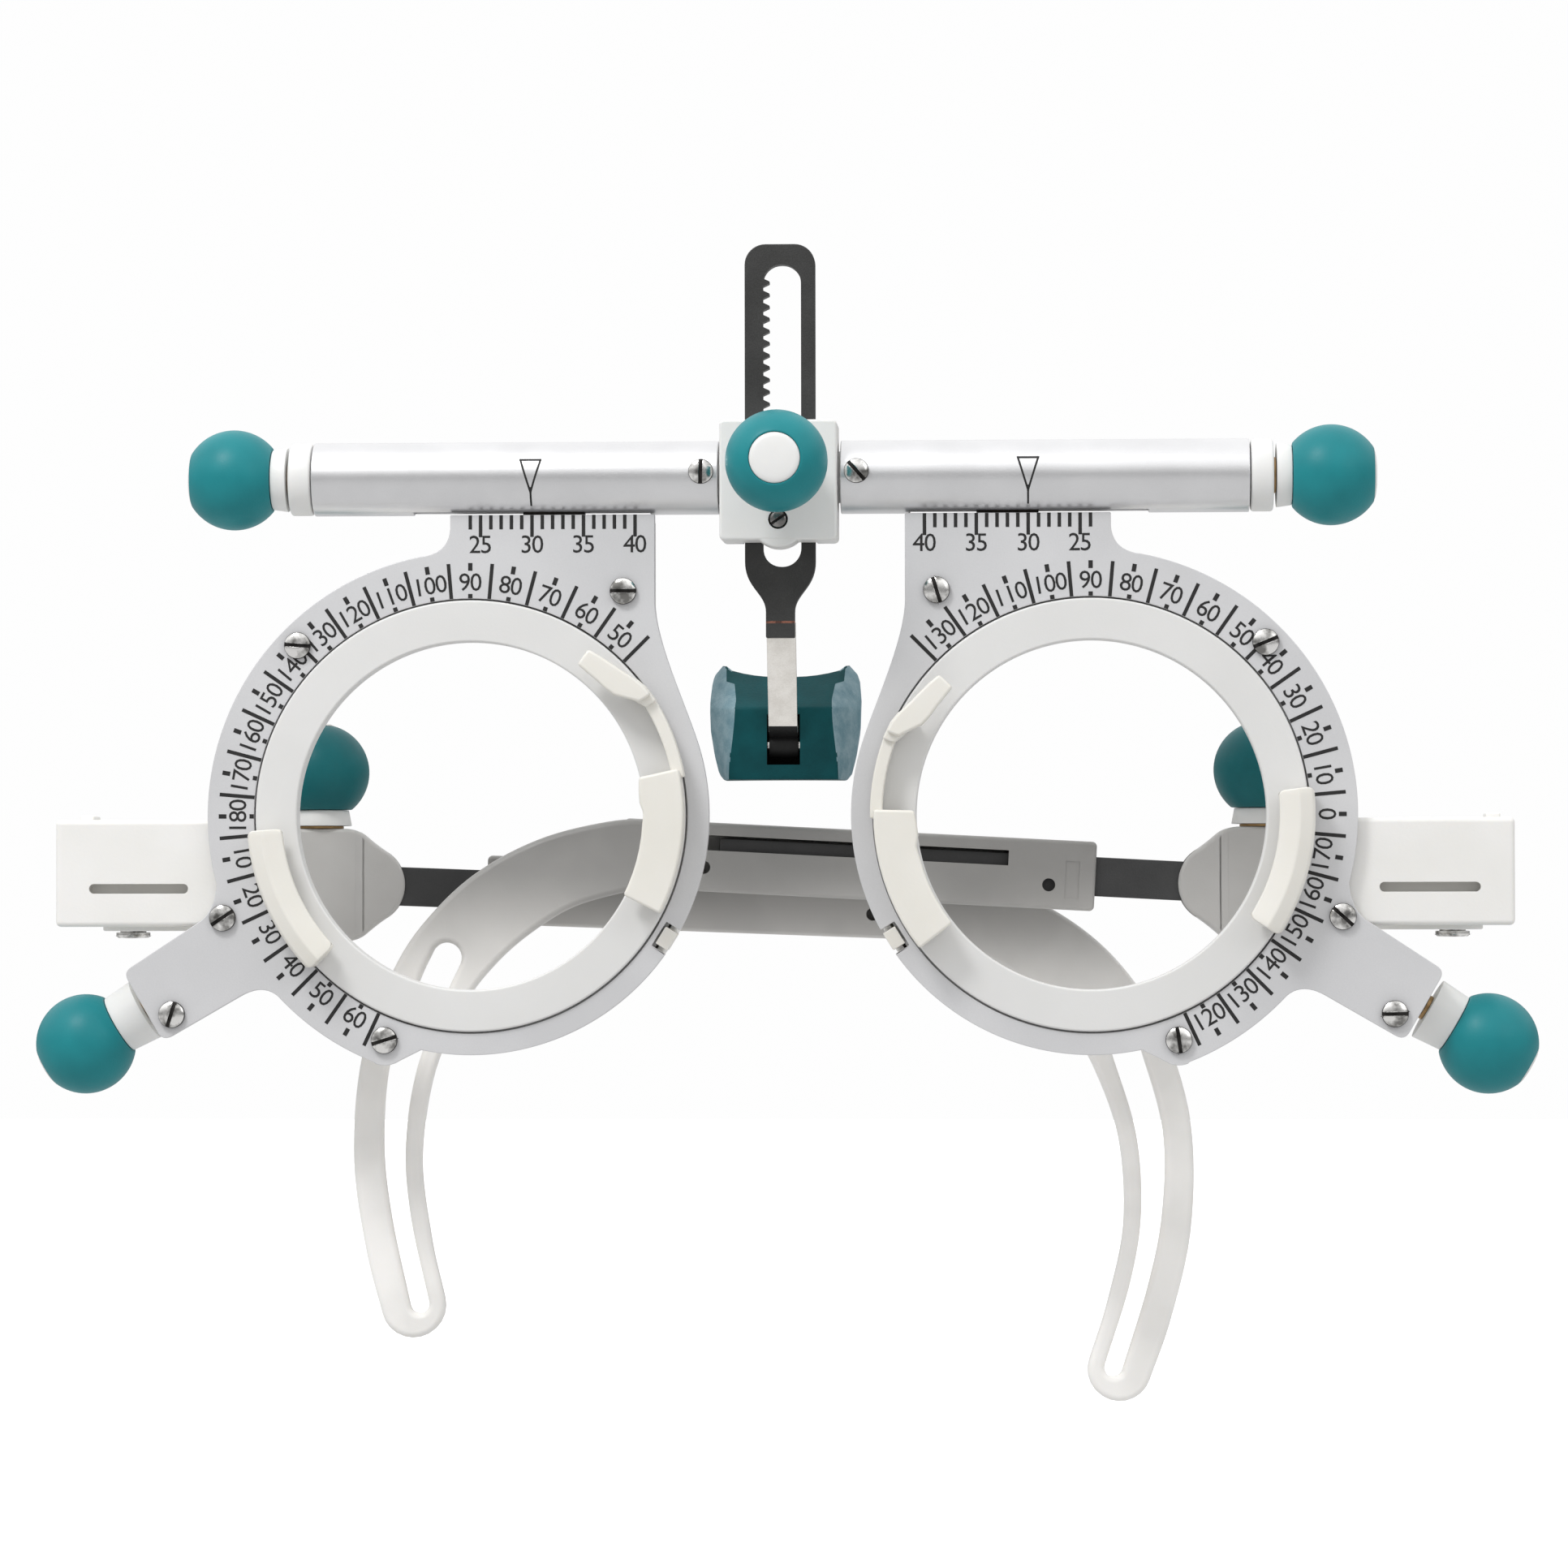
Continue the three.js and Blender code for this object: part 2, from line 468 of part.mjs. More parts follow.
// One crown tooth: straight flanks that narrow from the ring to the tip
function crownTooth() {
  const pitch = (2 * Math.PI) / CROWN.teeth;
  const diameter = CROWN.module * CROWN.teeth;
  const slope = Math.tan(CROWN.angle * DEGREE) / (diameter / 2);
  const half = pitch / 4 - CROWN_BAND.slack / diameter;
  const halfRoot = half + slope * CROWN.dedendum;
  const halfTip = half - slope * CROWN.addendum;
  const low = RING.flangeBack - 0.1;
  const high = CROWN.pitchY + CROWN.addendum;
  const corners = [];
  for (const radius of [CROWN_BAND.from, CROWN_BAND.to])
    for (const [angle, y] of [[-halfRoot, low], [halfRoot, low], [halfTip, high], [-halfTip, high]])
      corners.push(radius * Math.cos(angle), y, radius * Math.sin(angle));
  const quads = [[0, 1, 2, 3], [4, 7, 6, 5], [0, 4, 5, 1], [1, 5, 6, 2], [2, 6, 7, 3], [3, 7, 4, 0]];
  const faces = quads.flatMap(([a, b, c, d]) => [a, b, c, a, c, d]);
  const tooth = new THREE.BufferGeometry();
  tooth.setAttribute("position", new THREE.Float32BufferAttribute(corners, 3));
  tooth.setIndex(faces);
  return tooth;
}

function lensRing(side) {
  const r = RING;
  const profile = [
    [r.aperture, r.front],
    [r.collar - r.edge, r.front],
    [r.collar, r.front + r.edge],
    [r.collar, r.flangeFront],
    [r.flange, r.flangeFront],
    [r.flange, r.flangeBack],
    [r.sleeve, r.flangeBack],
    [r.sleeve, r.sleeveBack],
    [r.seatBore, r.sleeveBack],
    [r.seatBore, r.seatDepth],
    [r.aperture, r.seatDepth],
    [r.aperture, r.front],
  ];
  const body = turned(profile, [0, 0, 0], AXIS.y, ROUND);
  const pitch = (2 * Math.PI) / CROWN.teeth;
  const first = -ARM.angle * DEGREE + pitch / 2; // a gap faces the pinion
  const tooth = crownTooth();
  const teeth = Array.from({ length: CROWN.teeth }, (_, k) => tooth.clone().rotateY(first + k * pitch));
  return piece(`lens_ring_${side}`, join(body, ...teeth), FINISH.ring);
}

// A lens post: a full-height outer wall and two inward lips that leave two grooves for lens rims
function lensPost({ inner, outer, from, to }) {
  const overlap = CLIP.groove + 0.8;
  const wall = slab(arcBand(CLIP.groove, outer, from, to), CLIP.top, CLIP.base, CLIP.edge, 4);
  const lip = slab(arcBand(inner, overlap, from, to), CLIP.top, CLIP.lip, 0, 4);
  const rib = slab(arcBand(inner + 0.25, overlap, from, to), ...CLIP.rib, 0, 4);
  return join(wall, lip, rib);
}

function outerClip(side) {
  return piece(`outer_lens_clip_${side}`, lensPost(OUTER_CLIP), FINISH.cream);
}

// The nasal clip: a post, a low springy strap, a knuckle and the finger that is pressed to let a lens go
function nasalClip(side) {
  const { post, strap, knuckle, finger } = NASAL_CLIP;
  const band = ({ inner, outer, from, to }) => arcBand(inner, outer, from, to);
  return piece(
    `nasal_lens_clip_${side}`,
    join(
      lensPost(post),
      slab(band(strap), strap.top, CLIP.base, 0, 3),
      slab(band(knuckle), CLIP.top, CLIP.base, 0, 2),
      slab(band(finger), CLIP.top, CLIP.top + finger.thick, 0.2, 3),
    ),
    FINISH.cream,
  );
}

// Ball knobs: a soft grip over a moulded core with a neck

// Grip about a ball centre at distance s along its axis
function ballGrip(name, s, place, axis) {
  const { radius, inner, outer, bore } = BALL;
  const profile = [[bore, s - inner]];
  const first = Math.asin(-inner / radius);
  const last = Math.asin(outer / radius);
  for (let k = 0; k <= BALL.steps; k++) {
    const angle = first + ((last - first) * k) / BALL.steps;
    profile.push([radius * Math.cos(angle), s + radius * Math.sin(angle)]);
  }
  profile.push([bore, s + outer], [bore, s - inner]);
  return piece(name, turned(profile, place, axis, 14), FINISH.teal);
}

// Core profile: neck from its start, plug inside the grip, domed end in the grip's outer opening
function coreProfile({ centre, neckStart }) {
  const { inner, outer, core, neck } = BALL;
  const face = centre - inner - 0.1;
  const end = centre + outer;
  return [[neck, neckStart], [neck, face], [core, face], [core, end], [core * 0.6, end + 0.2], [0, end + 0.3]];
}

function pdDrive(side) {
  const place = [0, TUBE.y, TUBE.z];
  const { centre, neckStart } = PD_KNOB;
  const core = cut(
    turned([[0, neckStart], ...coreProfile(PD_KNOB)], place, AXIS.x),
    rod(SCREW.radius + 0.15, 40, SCREW.to + 0.2, place, AXIS.x),
  );
  return [
    piece(`pd_screw_${side}`, rod(SCREW.radius, SCREW.from, SCREW.to, place, AXIS.x), FINISH.brass),
    piece(`pd_knob_core_${side}`, core, FINISH.white),
    ballGrip(`pd_knob_grip_${side}`, centre, place, AXIS.x),
  ];
}

function axisDrive(side) {
  const place = [0, AXLE_Y, 0];
  const { centre, neckStart, stem } = AXIS_KNOB;
  const { from, slack, face } = CROWN_BAND;
  const outline = pinionOutline({ ...CROWN, slack }, CROWN.pinion, 180);
  const pinion = new THREE.ExtrudeGeometry(outline, { depth: face, bevelEnabled: false });
  // The outline's X axis becomes +Y and its depth runs outwards, so that the tooth drawn at 180 degrees
  // reaches forward into the crown
  const back = AXIS.y.clone();
  pinion.applyMatrix4(new THREE.Matrix4().makeBasis(back, ARM_WAY.clone().cross(back), ARM_WAY));
  pinion.translate(from * ARM_WAY.x, AXLE_Y, from * ARM_WAY.z);
  const start = from + 0.5;
  const profile = [[0, start], [stem, start], [stem, neckStart], ...coreProfile(AXIS_KNOB)];
  return [
    piece(`axis_knob_pinion_${side}`, join(pinion, turned(profile, place, ARM_WAY)), FINISH.white),
    ballGrip(`axis_knob_grip_${side}`, centre, place, ARM_WAY),
  ];
}

// Nose rest: centre block, pinion and knob, toothed bar, bent arm and pad

function bridgeBlock() {
  const { half, bottom, top, front, back, lobe, lobeZ, edge } = BLOCK;
  const tubeAxis = [0, TUBE.y, TUBE.z];
  const ways = [AXIS.x, AXIS.x.clone().negate()];
  const body = join(
    slab(roundedBox(-half, half, bottom, top, 0.4), front, back, edge, 3),
    rod(lobe, front + 0.1, back - 0.1, [0, 0, lobeZ], AXIS.y, 16),
    ...ways.map((way) => rod(SPIGOT.radius, half - 0.5, SPIGOT.end, tubeAxis, way, 14)),
  );
  const channelHalf = RACK.half + 0.15;
  const channel = box(-channelHalf, channelHalf, RACK.front - 0.2, back + 1, bottom - 4, top + 4);
  const bore = rod(RACK_KNOB.shaft + GAP, front - 1, back + 1, [PINION.x, 0, PINION.z], AXIS.y);
  const screwHole = rod(BRIDGE_SCREW.hole, front - 1, RACK.front - 0.6, [0, 0, lobeZ], AXIS.y, 12);
  const { x, z } = TUBE_SCREW;
  const tubeScrews = [-x, x].map((at) => rod(SCREW_HOLE, -6, 1, [at, TUBE.y, z], AXIS.y, 12));
  return piece("bridge_block", cut(body, channel, bore, screwHole, ...tubeScrews), FINISH.white);
}

function bridgeCover() {
  const { half, inset, gap, thick } = COVER;
  const outline = roundedBox(-half, half, BLOCK.bottom + inset, BLOCK.top - inset, 0.5);
  const cover = slab(outline, BLOCK.back + gap, BLOCK.back + gap + thick, BLOCK.edge, 2);
  const bearing = rod(RACK_KNOB.tail + 0.2, 0, BLOCK.back + 1.2, [PINION.x, 0, PINION.z], AXIS.y, 12);
  return piece("bridge_back_cover", cut(cover, bearing), FINISH.white);
}

function bridgeScrew() {
  const place = [0, BLOCK.front + BRIDGE_SCREW.recess, BLOCK.lobeZ];
  return slottedScrew("bridge_screw", place, BRIDGE_SCREW, BRIDGE_SCREW.turn);
}

// Teeth on the left side of the bar's slot, drawn a little into the bar so that they join it
function rackTeeth(root, tip) {
  const pitch = Math.PI * PINION.module;
  const slope = Math.tan(PINION.angle * DEGREE);
  const halfAtPitch = pitch / 4 - PINION.slack / 2;
  const halfRoot = halfAtPitch + slope * PINION.dedendum;
  const halfTip = Math.max(0.03, halfAtPitch - slope * PINION.addendum);
  return Array.from({ length: RACK.teeth }, (_, k) => {
    const z = RACK.firstTip - k * pitch;
    const [upper, lower] = [z + halfRoot, z - halfRoot];
    const flanks = [[root, upper], [tip, z + halfTip], [tip, z - halfTip], [root, lower]];
    return slab(polygon([[root - 0.5, upper], ...flanks, [root - 0.5, lower]]), RACK.front, RACK.back);
  });
}

function rackBar() {
  const { half, top, shoulder, stripHalf, stripTop, stripEnd } = RACK;
  const s = new THREE.Shape();
  s.moveTo(-stripHalf, stripEnd);
  s.lineTo(stripHalf, stripEnd);
  s.lineTo(stripHalf, stripTop - 0.6);
  s.bezierCurveTo(stripHalf, stripTop + 1.2, half, shoulder - 1.4, half, shoulder + 1.2);
  s.absarc(half - 2, top - 2, 2, 0, Math.PI / 2, false);
  s.absarc(2 - half, top - 2, 2, Math.PI / 2, Math.PI, false);
  s.lineTo(-half, shoulder + 1.2);
  s.bezierCurveTo(-half, shoulder - 1.4, -stripHalf, stripTop + 1.2, -stripHalf, stripTop - 0.6);
  const pitchLine = PINION.x - (PINION.module * PINION.teeth) / 2;
  const root = pitchLine - PINION.dedendum;
  const slot = roundedBox(root, RACK.slotRight, RACK.slotBottom, RACK.slotTop, 1.8);
  const bar = cut(slab(s, RACK.front, RACK.back, 0, 5), slab(slot, RACK.front - 1, RACK.back + 1, 0, 6));
  return piece("rack_bar", join(bar, ...rackTeeth(root, pitchLine + PINION.addendum)), FINISH.black);
}

function rackKnob() {
  const place = [PINION.x, 0, PINION.z];
  const back = AXIS.y.clone();
  const forward = AXIS.y.clone().negate();
  const teeth = slab(pinionOutline(PINION, PINION.teeth, 180), RACK.front + 0.05, RACK.back - 0.05);
  teeth.translate(PINION.x, 0, PINION.z);
  const { centre, shaft, tail, tailEnd } = RACK_KNOB;
  const neckStart = GAP - BLOCK.front;
  const shaftBack = 1.5;
  const core = cut(
    turned([[0, neckStart], ...coreProfile({ centre, neckStart })], place, forward, 24),
    rod(shaft + 0.15, -9.3, 0, place, back, 16),
  );
  const shafts = [rod(shaft, -9, shaftBack, place, back, 16), rod(tail, shaftBack, tailEnd, place, back, 10)];
  return [
    piece("rack_knob_pinion", join(teeth, ...shafts), FINISH.steel),
    piece("rack_knob_core", core, FINISH.white),
    ballGrip("rack_knob_grip", centre, place, forward),
  ];
}

const padPinBore = (half) =>
  rod(PAD_PIN.radius + PAD_PIN.slack, -half, half, [0, PAD_PIN.y, PAD_PIN.z], AXIS.x, 12);

function noseArm() {
  const { half, thin, eye } = NOSE_STRIP;
  const straight = 2; // the path's first points run straight down
  const front = NOSE_STRIP_PATH.map(([y, z], k) => [y - thin, k < straight ? z : z - thin * 0.7]);
  const back = NOSE_STRIP_PATH.map(([y, z], k) => {
    const slant = thin * 0.8;
    return k < straight ? [y + thin, z] : [y + slant, z + slant];
  });
  const strip = beam(polygon([...front, ...back.reverse()]), -half, half);
  const roll = rod(eye, -half, half, [0, PAD_PIN.y, PAD_PIN.z], AXIS.x, 16);
  return piece("nose_arm", cut(join(strip, roll), padPinBore(4)), FINISH.steel);
}

function nosePad() {
  const { half, front, back, bottom, crease, tip, saddle } = PAD;
  const s = new THREE.Shape();
  s.moveTo(front, bottom + 0.4);
  s.lineTo(front + 0.6, bottom);
  s.lineTo(back - 0.8, bottom);
  s.quadraticCurveTo(back, bottom, back, bottom + 0.8);
  s.lineTo(back, tip - 0.5);
  s.lineTo(back - 0.7, tip);
  s.lineTo(front, crease);
  const plan = polygon([
    [-half + 1.6, front - 1],
    [half - 1.6, front - 1],
    [half - 0.15, (front + back) / 2],
    [half, back + 1],
    [-half, back + 1],
    [0.15 - half, (front + back) / 2],
  ]);
  const block = common(beam(s, -half - 1, half + 1, 4), prism(plan, bottom - 1, tip + 1));
  const radius = (half * half + saddle * saddle) / (2 * saddle);
  const hollow = rod(radius, 0, 30, [0, back - saddle + radius, 0], AXIS.z, 48);
  const room = PAD_POCKET;
  const pocket = box(-room.half, room.half, front - 1, room.back, room.bottom, room.top);
  return piece("nose_pad", cut(block, hollow, pocket, padPinBore(PAD_PIN.half + 0.2)), FINISH.pad);
}

function nosePadPin() {
  const pin = rod(PAD_PIN.radius, -PAD_PIN.half, PAD_PIN.half, [0, PAD_PIN.y, PAD_PIN.z], AXIS.x, 12);
  return piece("nose_pad_pin", pin, FINISH.steel);
}

// Temple, drawn for the right side about its fold axis, with X running inboard along the folded temple

function templeBlock(side) {
  const { half, top, bottom, outer, nose, knuckle, edge } = TEMPLE_BLOCK;
  const middle = TILT.z;
  const s = new THREE.Shape();
  s.moveTo(outer, bottom + 0.8);
  s.quadraticCurveTo(outer, bottom, outer + 0.8, bottom);
  s.lineTo(nose - 7.0, bottom);
  s.quadraticCurveTo(nose - 4.6, bottom, nose - 2.2, middle - 4.1);
  s.bezierCurveTo(nose - 0.2, middle - 3.0, nose + 0.1, middle - 1.2, nose, middle - 0.2);
  s.bezierCurveTo(nose + 0.1, middle + 1.4, nose - 0.6, middle + 2.9, nose - 2.2, middle + 3.6);
  s.bezierCurveTo(nose - 4.2, middle + 4.6, nose - 5.2, top, nose - 7.4, top);
  s.lineTo(outer + 0.8, top);
  s.quadraticCurveTo(outer, top, outer, top - 0.8);
  const body = slab(s, -half, half, edge, 3);
  const low = HINGE_BOX.bottom + HINGE_BOX.wall + GAP;
  const high = HINGE_BOX.top - HINGE_BOX.wall - GAP;
  const neck = box(0, outer + 0.5, -half, half, low, high);
  const eye = rod(knuckle, low, high, [0, 0, 0], AXIS.z, 18);
  const [mouth, heel] = BAR_MOUTH.map((reach) => ({
    x: TILT.reach + reach,
    half: BAR.height / 2 + BAR.room + Math.abs(reach) * Math.tan(TILT.swing * DEGREE),
  }));
  const corners = [[mouth.x, middle + mouth.half], [heel.x, middle + heel.half]];
  corners.push([heel.x, middle - heel.half], [mouth.x, middle - mouth.half]);
  const slot = slab(polygon(corners), -BAR.half - BAR.room, BAR.half + BAR.room);
  const wormBore = rod(WORM.radius + BAR.room, WORM.bottom - 0.4, 5, [WORM.reach, 0, 0], AXIS.z, 16);
  const pivotHalf = BAR.trunnionHalf + 0.1;
  const pivotBore = rod(BAR.trunnion + 0.15, -pivotHalf, pivotHalf, [TILT.reach, 0, TILT.z], AXIS.y, 14);
  const pinBore = rod(FOLD_PIN.bore, -20, 5, [0, 0, 0], AXIS.z, 16);
  const block = cut(join(body, neck, eye), slot, wormBore, pivotBore, pinBore);
  return piece(`temple_block_${side}`, block, FINISH.cream);
}

function foldPin(side) {
  const { head, headFrom, headTo, shank, top } = FOLD_PIN;
  const profile = [[0, headFrom], [head - 0.2, headFrom + 0.05], [head, headFrom + 0.2], [head, headTo]];
  profile.push([shank, headTo], [shank, top], [0, top]);
  const slot = box(-3, 3, -0.2, 0.2, headFrom - 0.55, headFrom + 0.25);
  return piece(`fold_pin_${side}`, cut(turned(profile, [0, 0, 0], AXIS.z, 12), slot), FINISH.steel);
}

function tiltDrive(side) {
  const place = [WORM.reach, 0, 0];
  const { centre } = TILT_KNOB;
  const neckStart = TEMPLE_BLOCK.top + GAP;
  const shaft = [[0, WORM.bottom], [WORM.radius, WORM.bottom], [WORM.radius, neckStart]];
  const worm = turned([...shaft, ...coreProfile({ centre, neckStart })], place, AXIS.z);
  return [
    piece(`tilt_knob_worm_${side}`, worm, FINISH.white),
    ballGrip(`tilt_knob_grip_${side}`, centre, place, AXIS.z),
  ];
}

// Drawn about the tilt pivot, with X towards the temple's tip
function templeBar(side) {
  const half = BAR.height / 2;
  const outline = new THREE.Shape();
  outline.moveTo(0, -half);
  outline.lineTo(BAR.length, -half);
  outline.lineTo(BAR.length, half);
  outline.lineTo(0, half);
  outline.absarc(0, 0, 2.2, 0.65 * Math.PI, 1.35 * Math.PI, false);
  const trunnion = rod(BAR.trunnion, -BAR.trunnionHalf, BAR.trunnionHalf, [0, 0, 0], AXIS.y, 14);
  return piece(`temple_bar_${side}`, join(slab(outline, -BAR.half, BAR.half, 0, 5), trunnion), FINISH.bar);
}

// A ribbon outline that follows stations of [x, z, width] on a smooth curve, with a round far end
function ribbon(stations, samples, roundStart) {
  const line = new THREE.CatmullRomCurve3(stations.map(([x, z, w]) => new THREE.Vector3(x, z, w)));
  const upper = [];
  const lower = [];
  for (let k = 0; k <= samples; k++) {
    const p = line.getPoint(k / samples);
    const t = line.getTangent(k / samples);
    const normal = new THREE.Vector2(-t.y, t.x).normalize().multiplyScalar(p.z / 2);
    upper.push([p.x + normal.x, p.y + normal.y]);
    lower.push([p.x - normal.x, p.y - normal.y]);
  }
  const cap = (at, from) => {
    const p = line.getPoint(at);
    const [x, z] = from;
    const start = Math.atan2(z - p.y, x - p.x);
    return [1, 2, 3, 4, 5].map((k) => {
      const angle = start - (k * Math.PI) / 6;
      return [p.x + (p.z / 2) * Math.cos(angle), p.y + (p.z / 2) * Math.sin(angle)];
    });
  };
  const points = [...upper, ...cap(1, upper[samples]), ...lower.reverse()];
  if (roundStart) points.push(...cap(0, lower[samples]));
  return polygon(points);
}

// Rail and ear hook in one moulding, drawn about the tilt pivot
function templeRail(side) {
  const half = RAIL.height / 2;
  const rail = slab(roundedBox(RAIL.start, RAIL.end, -half, half, 0.5), -RAIL.half, RAIL.half, RAIL.edge, 2);
  const web = roundedBox(JOGGLE.from, JOGGLE.to, 0.6 - half, half - 1.1, 0.6);
  const joggle = slab(web, HOOK.front + 0.5, RAIL.half - 0.5, 0, 2);
  const hook = cut(
    slab(ribbon(HOOK_STATIONS, 14, false), HOOK.front, HOOK.back, 0.35),
    slab(ribbon(HOOK_OPENING, 8, true), HOOK.front - 1, HOOK.back + 1),
  );
  const cavity = box(RAIL.start - 1, RAIL.end - 1.5, -RAIL.cavity, RAIL.cavity, -RAIL.cavityHalf, RAIL.cavityHalf);
  const inside = -RAIL.half - 3;
  const slot = box(RAIL_SLOT.from, RAIL_SLOT.to, inside, 0, RAIL_SLOT.low, RAIL_SLOT.high);
  const holes = RAIL_HOLES.at.map((x) => rod(RAIL_HOLES.radius, inside, 0, [x, 0, RAIL_HOLES.h], AXIS.y, 8));
  return piece(`temple_rail_${side}`, cut(join(rail, joggle, hook), cavity, slot, ...holes), FINISH.cream);
}

// Assembly

function temple(side, settings) {
  const fold = new THREE.Group();
  fold.position.set(FOLD.x, FOLD.y, 0);
  fold.rotation.z = -settings.fold * DEGREE;
  const inboard = new THREE.Group();
  inboard.scale.x = -1; // the temple is drawn towards +X and lies towards the nose
  const tilt = new THREE.Group();
  tilt.position.set(TILT.reach, 0, TILT.z);
  tilt.rotation.y = -settings.tilt * DEGREE;
  tilt.add(templeBar(side), templeRail(side));
  inboard.add(templeBlock(side), foldPin(side), ...tiltDrive(side), tilt);
  fold.add(inboard);
  return fold;
}

function halfFrame(side, settings) {
  const half = new THREE.Group();
  half.scale.x = settings.mirror;
  const cell = new THREE.Group();
  cell.position.x = LENS_X;
  const clips = new THREE.Group();
  clips.rotation.y = -settings.ringTurn * DEGREE;
  clips.add(outerClip(side), nasalClip(side));
  cell.add(frontPlate(side), cellHousing(side), carriageNut(side), lensRing(side), clips, ...axisDrive(side));
  for (const [name, u, v, turn] of PLATE_SCREWS)
    cell.add(slottedScrew(`plate_screw_${name}_${side}`, [u, 0, v], PLATE_SCREW, turn));
  const tubeFace = [TUBE_SCREW.x, TUBE.y - TUBE.outer, TUBE_SCREW.z];
  const tubeScrew = slottedScrew(`tube_screw_${side}`, tubeFace, TUBE_SCREW, TUBE_SCREW.turn);
  half.add(tubeHalf(side), tubeCollar(side), tubeScrew, cell, ...pdDrive(side), temple(side, settings));
  return half;
}

const frame = new THREE.Group();
frame.position.set(0, -NOSE_ORIGIN.y, -NOSE_ORIGIN.z);
frame.add(bridgeBlock(), bridgeCover(), bridgeScrew());
frame.add(rackBar(), noseArm(), nosePadPin(), nosePad(), ...rackKnob());
for (const [side, settings] of Object.entries(SIDES)) frame.add(halfFrame(side, settings));

const trialFrame = new THREE.Group();
trialFrame.add(frame);
export default trialFrame;
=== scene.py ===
"""Looks of an adjustable optical trial frame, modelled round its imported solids.

Sizes are millimetres, measured from the point midway between the lens centres in the front face of the
scale plates: X to the viewer's right, Y away from the viewer, Z up. Meshes are in metres. What both sides
of the frame have is drawn once, as the right side, and mirrored.
"""

import logging
import math
from collections.abc import Callable, Iterator, Sequence
from contextlib import contextmanager
from dataclasses import dataclass, replace
from enum import Enum
from typing import ClassVar

import bpy
from mathutils import Matrix, Vector

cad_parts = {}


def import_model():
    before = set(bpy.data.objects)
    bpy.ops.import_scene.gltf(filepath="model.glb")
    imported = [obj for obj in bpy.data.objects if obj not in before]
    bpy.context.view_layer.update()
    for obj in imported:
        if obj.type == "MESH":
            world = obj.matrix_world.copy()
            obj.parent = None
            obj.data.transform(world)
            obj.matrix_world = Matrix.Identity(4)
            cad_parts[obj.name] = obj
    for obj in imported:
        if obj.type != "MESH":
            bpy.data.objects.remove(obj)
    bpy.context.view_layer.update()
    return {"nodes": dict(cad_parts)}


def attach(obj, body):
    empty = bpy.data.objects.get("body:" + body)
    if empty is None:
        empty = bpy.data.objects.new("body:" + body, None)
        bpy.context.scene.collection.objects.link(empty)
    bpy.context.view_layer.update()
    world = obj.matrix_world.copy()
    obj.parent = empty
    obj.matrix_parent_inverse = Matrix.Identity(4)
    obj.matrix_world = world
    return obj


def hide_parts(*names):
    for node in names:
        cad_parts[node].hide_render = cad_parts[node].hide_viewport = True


LOG = logging.getLogger("trial_frame")
MM = 0.001
FINE = 0.001
SMOOTH_ANGLE = 32
NOSE_HOLLOW = Vector((0.0, 11.7, 8.4))
MIDDLE = Matrix.Translation(-NOSE_HOLLOW * MM)
LENS_X = 30.0
TUBE_Y, TUBE_Z = 1.6, 32.75
TUBE_SCREW_X, TUBE_SCREW_Z = 7.5, TUBE_Z + 0.35
AXIS_SHAFT_Y = 5.5875
FOLD_X, FOLD_Y = 66.0, 19.0
TILT_X, TILT_Z = 22.5, -6.6

Point = tuple[float, float]
Triple = tuple[float, float, float]
Piece = bpy.types.Object
Socket = bpy.types.NodeSocket
Tree = bpy.types.NodeTree


class Plane(Enum):
    """The plane in which an outline is drawn; it is pulled along the third axis."""

    FRONT = "xz"
    TOP = "xy"
    SIDE = "yz"

    def at(self, u: float, v: float, w: float) -> Vector:
        """Gives the place, in metres, of outline point u, v at distance w along the third axis."""
        places = {"xz": (u, w, v), "xy": (u, v, w), "yz": (w, u, v)}
        return Vector(places[self.value]) * MM


class Axis(Enum):
    """The axis about which a profile is turned."""

    X = 0
    Y = 1
    Z = 2

    def vector(self) -> Vector:
        """Gives the axis as a unit vector."""
        return Vector([1.0 if k == self.value else 0.0 for k in range(3)])

    def out(self) -> Vector:
        """Gives a direction square to the axis, in which radii are drawn."""
        return Vector((0, 0, 1)) if self is Axis.X else Vector((1, 0, 0))


